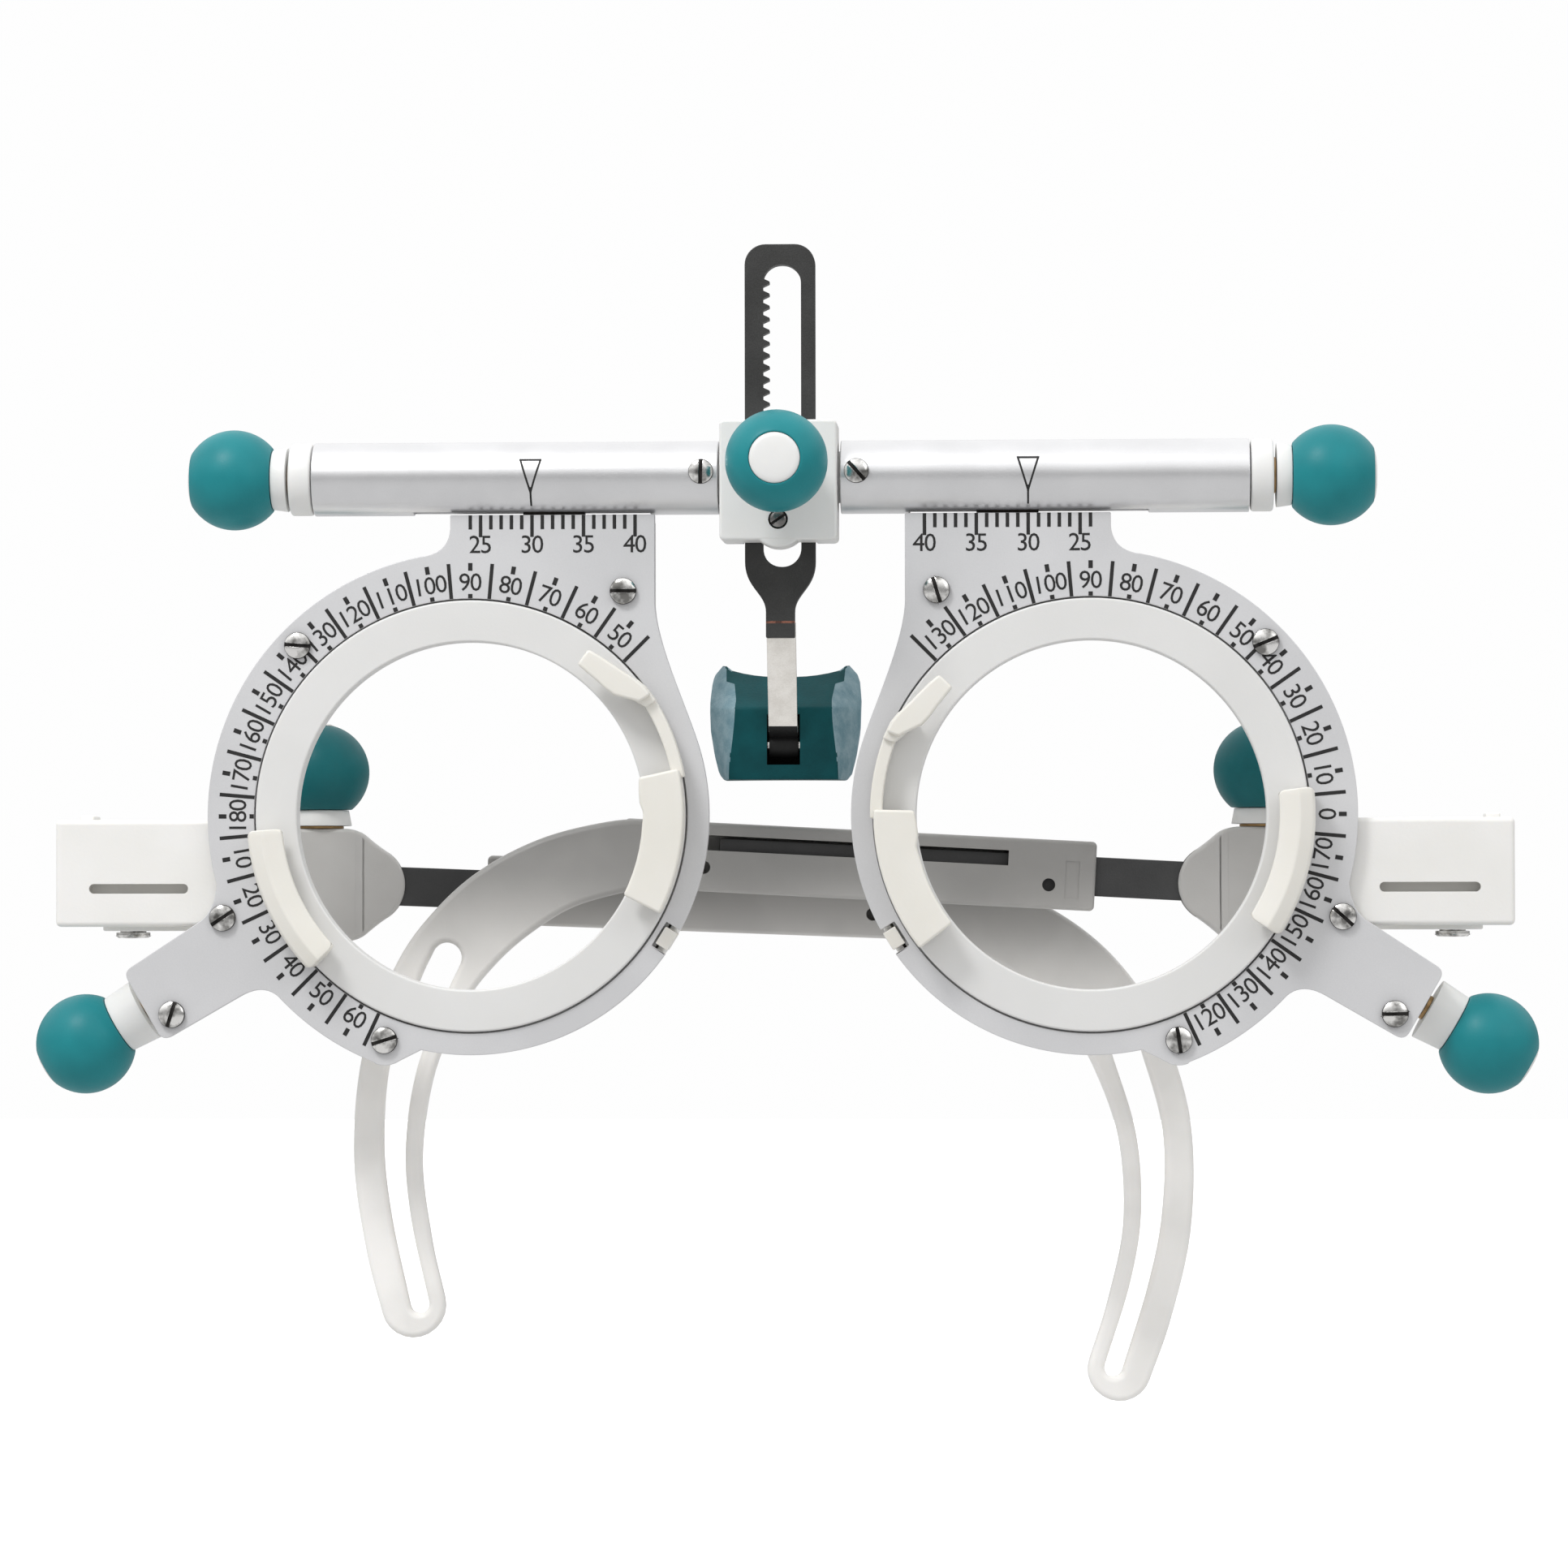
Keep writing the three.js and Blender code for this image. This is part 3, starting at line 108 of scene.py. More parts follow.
class Outline:
    """A closed line drawn from straight runs, arcs and curves; an arc's small radius has longer steps."""

    small: ClassVar[float] = 5.0

    def __init__(self, step: float = 3.0) -> None:
        """Starts an empty outline with this many degrees between the points of an arc."""
        self.step = step
        self.points: list[Point] = []

    def to(self, u: float, v: float) -> "Outline":
        """Adds a corner."""
        self.points.append((u, v))
        return self

    def arc(self, u: float, v: float, radius: float, start: float, end: float) -> "Outline":
        """Adds an arc.

        Args:
            u: Its centre's first coordinate.
            v: Its centre's second coordinate.
            radius: Its radius.
            start: The angle where it starts, in degrees.
            end: The angle where it ends.

        Returns:
            The outline.
        """
        step = self.step if radius > self.small else 6 * self.step
        count = max(2, round(abs(end - start) / step))
        for k in range(count + 1):
            angle = math.radians(start + (end - start) * k / count)
            self.to(u + radius * math.cos(angle), v + radius * math.sin(angle))
        return self

    def curve(self, *knots: Point, count: int = 0) -> "Outline":
        """Adds a curve.

        Args:
            knots: One or two control points, and its end.
            count: How many points it has; 0 is 10 with one control point and 14 with two.

        Returns:
            The outline.
        """
        count = count or 4 * len(knots) + 2
        line = (self.points[-1], *knots)
        last = len(knots)
        for k in range(1, count + 1):
            t = k / count
            shares = [math.comb(last, i) * t**i * (1 - t) ** (last - i) for i in range(last + 1)]
            self.to(*(sum(share * knot[side] for share, knot in zip(shares, line)) for side in (0, 1)))
        return self

    def closed(self) -> list[Point]:
        """Gives the points, without those that repeat their neighbour.

        Returns:
            The points.
        """
        kept: list[Point] = []
        for point in self.points:
            if not kept or math.dist(kept[-1], point) > 2 * FINE:
                kept.append(point)
        if math.dist(kept[0], kept[-1]) < 2 * FINE:
            kept.pop()
        return kept


def polar(radius: float, degrees: float) -> Point:
    """Gives the point at a radius and an angle."""
    angle = math.radians(degrees)
    return radius * math.cos(angle), radius * math.sin(angle)


def along(stations: Sequence[Point], place: float) -> float:
    """Reads a value between stations.

    Args:
        stations: Places with their values, in rising order.
        place: Where it is read.

    Returns:
        The value.
    """
    for (start, first), (end, last) in zip(stations, stations[1:]):
        if place <= end:
            return first + (last - first) * max(0.0, place - start) / (end - start)
    return stations[-1][1]


def rounded_box(u0: float, u1: float, v0: float, v1: float, r: float, step: float = 15.0) -> list[Point]:
    """Draws a rectangle with round corners.

    Args:
        u0: Its lower side along the first axis.
        u1: Its upper side along the first axis.
        v0: Its lower side along the second axis.
        v1: Its upper side along the second axis.
        r: The corners' radius.
        step: Degrees between the points of a corner.

    Returns:
        The outline.
    """
    line = Outline(step / 6)
    line.arc(u1 - r, v0 + r, r, -90, 0).arc(u1 - r, v1 - r, r, 0, 90)
    return line.arc(u0 + r, v1 - r, r, 90, 180).arc(u0 + r, v0 + r, r, 180, 270).closed()


def smooth_line(stations: Sequence[Triple], samples: int) -> list[tuple[Vector, Vector]]:
    """Runs a smooth curve through stations.

    Args:
        stations: Points of u, v and width.
        samples: How many stretches the curve is cut into.

    Returns:
        Each sample's place with its width, and its direction.
    """
    known = [Vector(s) for s in stations]
    known = [2 * known[0] - known[1], *known, 2 * known[-1] - known[-2]]
    spans = len(known) - 3
    found = []
    for k in range(samples + 1):
        place = min(k / samples * spans, spans - 1e-9)
        i = int(place)
        t = place - i
        a, b, c, d = known[i : i + 4]
        square, cube = 2 * a - 5 * b + 4 * c - d, 3 * b - a - 3 * c + d
        point = 0.5 * (2 * b + (c - a) * t + square * t**2 + cube * t**3)
        found.append((point, 0.5 * ((c - a) + 2 * square * t + 3 * cube * t**2)))
    return found


def ribbon(stations: Sequence[Triple], samples: int, round_start: bool) -> list[Point]:
    """Draws a ribbon with a round far end.

    Args:
        stations: Points of u, v and width that it follows.
        samples: How many stretches it is cut into.
        round_start: Whether its start is round too.

    Returns:
        The outline.
    """
    line = smooth_line(stations, samples)
    upper, lower = [], []
    for point, way in line:
        normal = Vector((-way[1], way[0])).normalized() * (point[2] / 2)
        upper.append((point[0] + normal[0], point[1] + normal[1]))
        lower.append((point[0] - normal[0], point[1] - normal[1]))

    def cap(middle: Vector, start: Point) -> list[Point]:
        """Draws half a circle, clockwise.

        Args:
            middle: Its centre, with the ribbon's width there.
            start: Where it starts.

        Returns:
            Its points.
        """
        first = math.degrees(math.atan2(start[1] - middle[1], start[0] - middle[0]))
        spots = (polar(middle[2] / 2, first - 15 * k) for k in range(1, 12))
        return [(middle[0] + u, middle[1] + v) for u, v in spots]

    points = [*upper, *cap(line[-1][0], upper[-1]), *reversed(lower)]
    if round_start:
        points += cap(line[0][0], lower[0])
    return points


def hold(*pieces: Piece) -> None:
    """Selects objects alone and makes the first one active.

    Args:
        pieces: The objects.
    """
    bpy.ops.object.select_all(action="DESELECT")
    for piece in pieces:
        piece.select_set(True)
    bpy.context.view_layer.objects.active = pieces[0]


@contextmanager
def editing(piece: Piece) -> Iterator[None]:
    """Edits a piece's mesh, with all of it selected.

    Args:
        piece: The piece.

    Yields:
        Nothing.
    """
    hold(piece)
    bpy.ops.object.mode_set(mode="EDIT")
    bpy.ops.mesh.select_all(action="SELECT")
    yield
    bpy.ops.object.mode_set(mode="OBJECT")


def slab(points: Sequence[Point], start: float, end: float, plane: Plane = Plane.FRONT) -> Piece:
    """Pulls an outline into a solid.

    Args:
        points: The outline.
        start: Where the solid starts along the third axis.
        end: Where it ends.
        plane: The outline's plane.

    Returns:
        The solid.
    """
    bpy.ops.mesh.primitive_circle_add(vertices=len(points), radius=MM, fill_type="NGON")
    piece = bpy.context.object
    for vertex, (u, v) in zip(piece.data.vertices, points):
        vertex.co = plane.at(u, v, start)
    with editing(piece):
        bpy.ops.mesh.extrude_region_move(TRANSFORM_OT_translate={"value": plane.at(0, 0, end - start)})
        bpy.ops.mesh.select_all(action="SELECT")
        bpy.ops.mesh.normals_make_consistent(inside=False)
    return piece


def brick(low: Sequence[float], high: Sequence[float]) -> Piece:
    """Makes a block.

    Args:
        low: Its lowest corner.
        high: Its highest corner.

    Returns:
        The block.
    """
    middle = [(a + b) / 2 * MM for a, b in zip(low, high)]
    size = [(b - a) * MM for a, b in zip(low, high)]
    bpy.ops.mesh.primitive_cube_add(size=1, location=middle, scale=size)
    bpy.ops.object.transform_apply()
    return bpy.context.object


def turned(
    profile: Sequence[Point],
    axis: Axis,
    place: Sequence[float] = (0, 0, 0),
    steps: int = 96,
    sweep: Point | None = None,
) -> Piece:
    """Turns a closed profile of radius and distance about an axis.

    Args:
        profile: The points, of which those on the axis close the solid's ends.
        axis: The axis of the turning.
        place: A point on the axis.
        steps: Facets round the whole turn, or along the sweep.
        sweep: First and last angle in degrees, from X towards Z; None is a whole turn.

    Returns:
        The solid.
    """
    fill = "NGON" if sweep else "NOTHING"
    bpy.ops.mesh.primitive_circle_add(vertices=len(profile), radius=MM, fill_type=fill)
    piece = bpy.context.object
    centre, way, out = Vector(place) * MM, axis.vector(), axis.out()
    angle = 2 * math.pi
    if sweep:
        first, last = (math.radians(end) for end in sweep)
        out = Vector((math.cos(first), 0, math.sin(first)))
        angle = last - first
    for vertex, (radius, distance) in zip(piece.data.vertices, profile):
        vertex.co = centre + (out * radius + way * distance) * MM
    with editing(piece):
        if not sweep:
            bpy.ops.mesh.select_all(action="DESELECT")
            bpy.ops.object.mode_set(mode="OBJECT")
            for edge in piece.data.edges:
                edge.select = all(profile[k][0] < FINE for k in edge.vertices)
            bpy.ops.object.mode_set(mode="EDIT")
            bpy.ops.mesh.select_mode(type="EDGE")
            bpy.ops.mesh.delete(type="EDGE")
            bpy.ops.mesh.select_mode(type="VERT")
            bpy.ops.mesh.select_all(action="SELECT")
        bpy.ops.mesh.spin(steps=steps, angle=angle, center=centre, axis=way)
        bpy.ops.mesh.select_all(action="SELECT")
        bpy.ops.mesh.remove_doubles(threshold=FINE * MM * 2)
        bpy.ops.mesh.normals_make_consistent(inside=False)
    return piece


def rod(
    radius: float, start: float, end: float, axis: Axis, place: Sequence[float] = (0, 0, 0), facets: int = 48
) -> Piece:
    """Makes a round rod between two distances along an axis."""
    profile = [(0, start), (radius, start), (radius, end), (0, end)]
    return turned(profile, axis, place, facets)


def modify(piece: Piece, kind: str, **settings: object) -> Piece:
    """Adds a modifier and applies it.

    Args:
        piece: The piece.
        kind: The modifier's type.
        settings: What it is set to.

    Returns:
        The piece.
    """
    hold(piece)
    modifier = piece.modifiers.new(kind.title(), kind)
    for name, value in settings.items():
        setattr(modifier, name, value)
    bpy.ops.object.modifier_apply(modifier=modifier.name)
    return piece


def soften(piece: Piece, width: float, segments: int = 3, angle: float = 35) -> Piece:
    """Rounds every edge sharper than an angle."""
    limit = {"limit_method": "ANGLE", "angle_limit": math.radians(angle), "use_clamp_overlap": False}
    return modify(piece, "BEVEL", width=width * MM, segments=segments, **limit)


def combine(piece: Piece, others: Sequence[Piece], operation: str) -> Piece:
    """Changes a piece by other solids, which are then removed.

    Args:
        piece: The piece.
        others: The solids.
        operation: The boolean operation.

    Returns:
        The piece.
    """
    for other in others:
        modify(piece, "BOOLEAN", object=other, operation=operation, solver="EXACT")
        bpy.data.objects.remove(other)
    return piece


def cut(piece: Piece, *tools: Piece) -> Piece:
    """Cuts the tools from the piece."""
    return combine(piece, tools, "DIFFERENCE")


def join(piece: Piece, *others: Piece) -> Piece:
    """Joins solids into one."""
    return combine(piece, others, "UNION")


def gather(pieces: Sequence[Piece]) -> Piece:
    """Puts separate shells into one object.

    Args:
        pieces: The shells.

    Returns:
        The object.
    """
    hold(*pieces)
    bpy.ops.object.join()
    return pieces[0]


def split(piece: Piece, axis: Axis, places: Sequence[float]) -> None:
    """Splits a piece's faces along planes.

    Args:
        piece: The piece.
        axis: The axis that the planes are square to.
        places: Where they cross it.
    """
    way = axis.vector()
    with editing(piece):
        for place in places:
            bpy.ops.mesh.select_all(action="SELECT")
            bpy.ops.mesh.bisect(plane_co=[k * place * MM for k in way], plane_no=way, threshold=1e-7)


def twin(piece: Piece) -> Piece:
    """Copies a piece with a mesh of its own.

    Args:
        piece: The piece.

    Returns:
        The copy.
    """
    made = piece.copy()
    made.data = piece.data.copy()
    bpy.context.scene.collection.objects.link(made)
    return made


def seat(piece: Piece, matrix: Matrix) -> Piece:
    """Moves a piece's mesh, and turns its faces outwards again where that mirrors it.

    Args:
        piece: The piece.
        matrix: The move.

    Returns:
        The piece.
    """
    piece.data.transform(matrix)
    if matrix.determinant() < 0:
        piece.data.flip_normals()
    piece.data.update()
    return piece


def shift(x: float, y: float, z: float) -> Matrix:
    """Gives a move in millimetres."""
    return Matrix.Translation(Vector((x, y, z)) * MM)


def turn(degrees: float, axis: Axis) -> Matrix:
    """Gives a turn about an axis through the origin."""
    return Matrix.Rotation(math.radians(degrees), 4, axis.name)


def feed(tree: Tree, node: bpy.types.Node, inputs: dict[str | int, object]) -> None:
    """Sets a node's inputs.

    Args:
        tree: The node's tree.
        node: The node.
        inputs: Each input's value, or the socket that feeds it.
    """
    for name, value in inputs.items():
        if isinstance(value, Socket):
            tree.links.new(value, node.inputs[name])
        else:
            node.inputs[name].default_value = value


def wire(tree: Tree, kind: str, inputs: dict[str | int, object], **settings: object) -> bpy.types.Node:
    """Adds a shader node.

    Args:
        tree: The tree.
        kind: The node's type, without the start that all have.
        inputs: Each input's value, or the socket that feeds it.
        settings: The node's own settings.

    Returns:
        The node.
    """
    node = tree.nodes.new(f"ShaderNode{kind}")
    for name, value in settings.items():
        setattr(node, name, value)
    feed(tree, node, inputs)
    return node


def ramped(tree: Tree, value: Socket, span: Point, ends: Point) -> Socket:
    """Turns a value into a smooth step.

    Args:
        tree: The tree.
        value: The value.
        span: Where the step starts and ends.
        ends: What it gives there.

    Returns:
        The step.
    """
    limits = dict(zip(("From Min", "From Max", "To Min", "To Max"), (*span, *ends)))
    step = wire(tree, "MapRange", {"Value": value, **limits}, interpolation_type="SMOOTHSTEP")
    return step.outputs["Result"]


def seen_apart(tree: Tree, seen: Socket, lighting: Socket) -> Socket:
    """Gives a shader that is one thing to the camera and another to the light."""
    camera_ray = wire(tree, "LightPath", {}).outputs["Is Camera Ray"]
    return wire(tree, "MixShader", {"Fac": camera_ray, 1: lighting, 2: seen}).outputs["Shader"]


@dataclass(frozen=True)
class Finish:
    """A surface: two close colours that wander into each other, a fine grain and its gloss.

    mottle, grain and depth are the colours' patches, the grain and its height in millimetres; the last field
    is painted
    shade: the height where the colour starts to darken upwards, the height where it stops, and the share that
    is left.
    """

    name: str
    slot: str
    light: Triple
    dark: Triple
    roughness: float
    uneven: float
    metallic: float
    mottle: float
    grain: float
    depth: float
    specular: float = 0.5
    glow: float = 0.0
    speckle: float = 0.0
    ramp: Point = (0.32, 0.68)
    fade: Triple | None = None

    @staticmethod
    def noise(tree: Tree, place: Socket, size: float, detail: float) -> Socket:
        """Gives a noise whose patches have this size in millimetres."""
        inputs = {"Vector": place, "Scale": 1 / (size * MM), "Detail": detail}
        return wire(tree, "TexNoise", inputs).outputs["Fac"]

    def material(self) -> bpy.types.Material:
        """Gives the finish's material, which is made the first time it is asked for.

        Returns:
            The material.
        """
        known = bpy.data.materials.get(self.name)
        if known:
            return known
        made = bpy.data.materials.new(self.name)
        made.use_nodes = True
        tree = made.node_tree
        place = wire(tree, "TexCoord", {}).outputs["Object"]
        cloud, grain = self.noise(tree, place, self.mottle, 3.0), self.noise(tree, place, self.grain, 2.0)
        blend = wire(tree, "Math", {0: grain, 1: self.speckle, 2: cloud}, operation="MULTIPLY_ADD")
        colours = wire(tree, "ValToRGB", {"Fac": blend.outputs["Value"]})
        for stop, where, shade in zip(colours.color_ramp.elements, self.ramp, (self.dark, self.light)):
            stop.position = where + self.speckle / 2
            stop.color = (*shade, 1)
        colour = colours.outputs["Color"]
        # Painted shade: the colour darkens upwards between two heights, standing in for shadow cast from
        # above and in front.
        if self.fade:
            low, high, left = self.fade
            height = wire(tree, "SeparateXYZ", {"Vector": place}).outputs["Z"]
            share = ramped(tree, height, (low * MM, high * MM), (1.0, left))
            shaded_colour = wire(tree, "VectorMath", {0: colour, "Scale": share}, operation="SCALE")
            colour = shaded_colour.outputs["Vector"]
        gloss = {"Value": grain}
        gloss |= {"To Min": self.roughness - self.uneven, "To Max": self.roughness + self.uneven}
        bump = wire(tree, "Bump", {"Strength": 1.0, "Distance": self.depth * MM, "Height": grain})
        inputs = {
            "Base Color": colour,
            "Roughness": wire(tree, "MapRange", gloss).outputs["Result"],
            "Normal": bump.outputs["Normal"],
            "Metallic": self.metallic,
            "Specular IOR Level": self.specular,
        }
        if self.glow:
            inputs["Subsurface Weight"] = self.glow
            inputs["Subsurface Radius"] = (1.0, 0.9, 0.75)
            inputs["Subsurface Scale"] = 0.6 * MM
        feed(tree, tree.nodes["Principled BSDF"], inputs)
        return made


PLATE_METAL = Finish(
    "satin_plate", "scale_plate", (0.68, 0.68, 0.69), (0.61, 0.61, 0.62),
    0.5, 0.08, 0.2, 14, 0.16, 0.006, speckle=0.3,
)
TUBE_METAL = Finish(
    "satin_tube", "tube_metal", (0.80, 0.80, 0.81), (0.74, 0.74, 0.75),
    0.36, 0.07, 1.0, 6, 0.12, 0.006, speckle=0.3,
)
WHITE_PLASTIC = Finish(
    "white_moulding", "white_plastic", (0.82, 0.82, 0.81), (0.77, 0.77, 0.755), 0.42, 0.05, 0, 8, 0.3, 0.008,
    glow=0.15,
)
CREAM_PLASTIC = Finish(
    "cream_moulding", "cream_plastic", (0.83, 0.81, 0.76), (0.78, 0.76, 0.70), 0.42, 0.06, 0, 10, 0.3, 0.01,
    glow=0.15,
)
RING_PLASTIC = Finish(
    "ring_moulding", "ring_plastic", (0.755, 0.752, 0.742), (0.72, 0.717, 0.705),
    0.46, 0.05, 0, 12, 0.22, 0.006, glow=0.1,
)
TEAL_RUBBER = Finish(
    "teal_grip", "teal_rubber", (0.013, 0.235, 0.262), (0.010, 0.20, 0.225), 0.42, 0.08, 0, 5, 0.18, 0.01,
    specular=0.24,
)
# A darker copy of the teal grip for the tilt knobs behind the rings: painted shade, as they are the same
# rubber lying in the rings' shadow.
SHADED_TEAL = replace(
    TEAL_RUBBER, name="teal_grip_rear", light=(0.010, 0.145, 0.16), dark=(0.008, 0.12, 0.135), specular=0.2
)
PAD_RUBBER = Finish(
    "teal_pad", "pad_rubber", (0.004, 0.078, 0.088), (0.003, 0.048, 0.055), 0.5, 0.08, 0, 5, 0.25, 0.02,
    specular=0.12,
)
# A lighter, rougher grey-blue finish for the pad's sloping cheeks.
CHEEK_RUBBER_GREY_BLUE = Finish(
    "dusty_pad_cheek", "pad_rubber", (0.24, 0.36, 0.41), (0.13, 0.25, 0.30), 0.65, 0.1, 0, 1.4, 0.2, 0.03,
    speckle=0.4,
)
BLACK_STEEL = Finish(
    "black_oxide", "black_steel", (0.058, 0.058, 0.057), (0.040, 0.040, 0.039),
    0.48, 0.1, 0.5, 5, 0.15, 0.015, speckle=0.3,
)
# Near black for the pad's pocket and the strip's end inside it: painted shade in the pocket's hollow.
POCKET_PAINTED_SHADE = Finish(
    "black_lining", "black_steel", (0.012, 0.012, 0.012), (0.007, 0.007, 0.007),
    0.6, 0.08, 0.0, 3, 0.15, 0.006, specular=0.3,
)
COPPER_WEAR = Finish(
    "worn_edge", "black_steel", (0.30, 0.13, 0.09), (0.10, 0.05, 0.04),
    0.45, 0.1, 0.7, 0.6, 0.12, 0.01, speckle=0.8,
)
# Polished steel whose colour wanders in head-sized patches between near white and near black: painted
# reflection, standing in for the bright and dark surroundings that the steel mirrors.
STEEL_PAINTED_REFLECTION = Finish(
    "polished_steel", "bright_steel", (0.88, 0.87, 0.85), (0.22, 0.215, 0.205),
    0.2, 0.05, 1.0, 1.5, 0.2, 0.004, ramp=(0.38, 0.56),
)
NICKEL_STRIP = Finish(
    "nickel_strip", "bright_steel", (1.0, 0.97, 0.92), (0.88, 0.845, 0.79), 0.38, 0.1, 0.85, 1.2, 0.14, 0.01,
    speckle=0.6,
)
# Near black steel for the slots and steep edges of screw heads: painted shade in the slot and a painted dark
# reflection on the edge.
STEEL_PAINTED_SHADE = Finish(
    "dark_steel", "bright_steel", (0.055, 0.052, 0.05), (0.02, 0.019, 0.018), 0.4, 0.1, 1.0, 0.8, 0.15, 0.006
)
GREY_STEEL = Finish(
    "grey_steel", "bright_steel", (0.34, 0.33, 0.32), (0.16, 0.155, 0.15), 0.3, 0.08, 1.0, 1.0, 0.15, 0.006
)
BRASS = Finish(
    "turned_brass", "brass", (0.47, 0.31, 0.15), (0.36, 0.23, 0.11), 0.35, 0.1, 1.0, 1.5, 0.15, 0.01
)
# The carriage nut's brass made near black: painted shade, since it shows only through the slot under the
# tube.
NUT_PAINTED_SHADE = Finish(
    "dull_brass", "brass", (0.10, 0.09, 0.08), (0.06, 0.055, 0.05), 0.5, 0.1, 0.8, 1.5, 0.15, 0.01
)
DARK_BAR = Finish(
    "bar_anodised", "dark_bar", (0.060, 0.060, 0.061), (0.045, 0.045, 0.046), 0.5, 0.08, 0.1, 6, 0.14, 0.01,
    speckle=0.4,
)
INK = Finish(
    "scale_ink", "scale_plate", (0.011, 0.010, 0.010), (0.006, 0.006, 0.006), 0.6, 0.05, 0, 2, 0.1, 0.002
)
# Darker grey for the faces inside the hinge box's slot: painted shade in the recess.
SLOT_PAINTED_SHADE = Finish(
    "slot_lining", "cream_plastic", (0.66, 0.65, 0.62), (0.60, 0.59, 0.565), 0.5, 0.06, 0, 6, 0.3, 0.01
)
BOX_PLASTIC = Finish(
    "box_moulding", "cream_plastic", (0.87, 0.86, 0.84), (0.83, 0.82, 0.79),
    0.45, 0.06, 0, 9, 0.3, 0.012, glow=0.15,
)
# The temple blocks' cream plastic, made much darker as painted shade: the blocks sit in the shadow of the
# plates and hinge boxes.
BLOCK_PAINTED_SHADE = Finish(
    "block_moulding", "cream_plastic", (0.57, 0.56, 0.545), (0.51, 0.50, 0.485), 0.4, 0.06, 0, 9, 0.25, 0.01,
    glow=0.1,
)
# Rail and ear hook: painted shade darkens the colour upwards, standing in for the shadow that the rings and
# plates cast on the arch; the light colour is what the lit lower legs show.
RAIL_PAINTED_SHADE = Finish(
    "rail_moulding", "cream_plastic", (0.98, 0.96, 0.93), (0.86, 0.845, 0.82), 0.4, 0.06, 0, 13, 0.25, 0.01,
    glow=0.1, ramp=(0.36, 0.56), fade=(-28, -13, 0.36),
)

Accent = tuple[Finish, Callable[[Vector, Vector], bool]]


def dress(
    piece: Piece,
    name: str,
    finish: Finish,
    body: str,
    matrix: Matrix,
    node: str = "",
    accents: Sequence[Accent] = (),
) -> None:
    """Sets a shape in its place on the frame, smooths it and gives it its finish.

    Args:
        piece: The shape, drawn in its own sub-assembly's place.
        name: The piece's name.
        finish: Its surface.
        body: The body that it rides on.
        matrix: From the sub-assembly's place to the frame.
        node: The CAD node it stands for, if any.
        accents: Other finishes, each with its test of a face's middle, in millimetres, and its normal.
    """
    piece.name = piece.data.name = name
    chosen = []
    for face in piece.data.polygons:
        tests = (k for k, (_, test) in enumerate(accents, 1) if test(face.center / MM, face.normal))
        chosen.append(next(tests, 0))
    seat(piece, matrix)
    hold(piece)
    bpy.ops.object.shade_smooth_by_angle(angle=math.radians(SMOOTH_ANGLE))
    modify(piece, "WEIGHTED_NORMAL", keep_sharp=True, weight=60)
    piece.data.materials.clear()
    for used in (finish, *(accent for accent, _ in accents)):
        piece.data.materials.append(used.material())
    piece.data.polygons.foreach_set("material_index", chosen)
    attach(piece, body)
    if node:
        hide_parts(node)
    LOG.info("%s on %s, %d faces", name, body, len(piece.data.polygons))


@dataclass(frozen=True)
class Side:
    """How one side of the frame is set in the photographed position, in degrees.

    mirror is 1 or -1; scale is the axis scale's first and last mark; slots are the turns of the plate's
    screws, and tube_slot that of the tube's.
    """

    name: str
    mirror: int
    fold: float
    tilt: float
    ring_turn: float
    scale: tuple[int, int]
    slots: tuple[float, ...]
    tube_slot: float

    def frame(self) -> Matrix:
        """Gives the matrix from this side, drawn as the right one, to the frame."""
        return MIDDLE @ Matrix.Diagonal((self.mirror, 1, 1, 1))

    def cell(self) -> Matrix:
        """Gives the matrix from the lens centre to the frame."""
        return self.frame() @ shift(LENS_X, 0, 0)

    def clips(self) -> Matrix:
        """Gives the matrix from the turned lens ring to the frame."""
        return self.cell() @ turn(-self.ring_turn, Axis.Y)

    def temple(self) -> Matrix:
        """Gives the matrix from the temple's fold axis, X running inboard, to the frame."""
        place = shift(FOLD_X, FOLD_Y, 0) @ turn(-self.fold, Axis.Z)
        return self.frame() @ place @ Matrix.Diagonal((-1, 1, 1, 1))

    def bar(self) -> Matrix:
        """Gives the matrix from the tilt pivot, X running to the temple's tip, to the frame."""
        return self.temple() @ shift(TILT_X, 0, TILT_Z) @ turn(-self.tilt, Axis.Y)


@dataclass(frozen=True)
class Part:
    """A shape that both sides have; {} in its names and its body's stands for the side's name."""

    shape: Piece
    name: str
    finish: Finish
    node: str = ""
    accents: Sequence[Accent] = ()


def spread(sides: Sequence[Side], body: str, place: Callable[[Side], Matrix], parts: Sequence[Part]) -> None:
    """Dresses a copy of each part on every side, and removes the parts' own shapes.

    Args:
        sides: The sides.
        body: The body that the parts ride on.
        place: Gives the matrix from the parts' own place to the frame.
        parts: The parts.
    """
    for side in sides:
        for part in parts:
            name, carrier, node = (text.format(side.name) for text in (part.name, body, part.node))
            dress(twin(part.shape), name, part.finish, carrier, place(side), node, part.accents)
    for part in parts:
        bpy.data.objects.remove(part.shape)


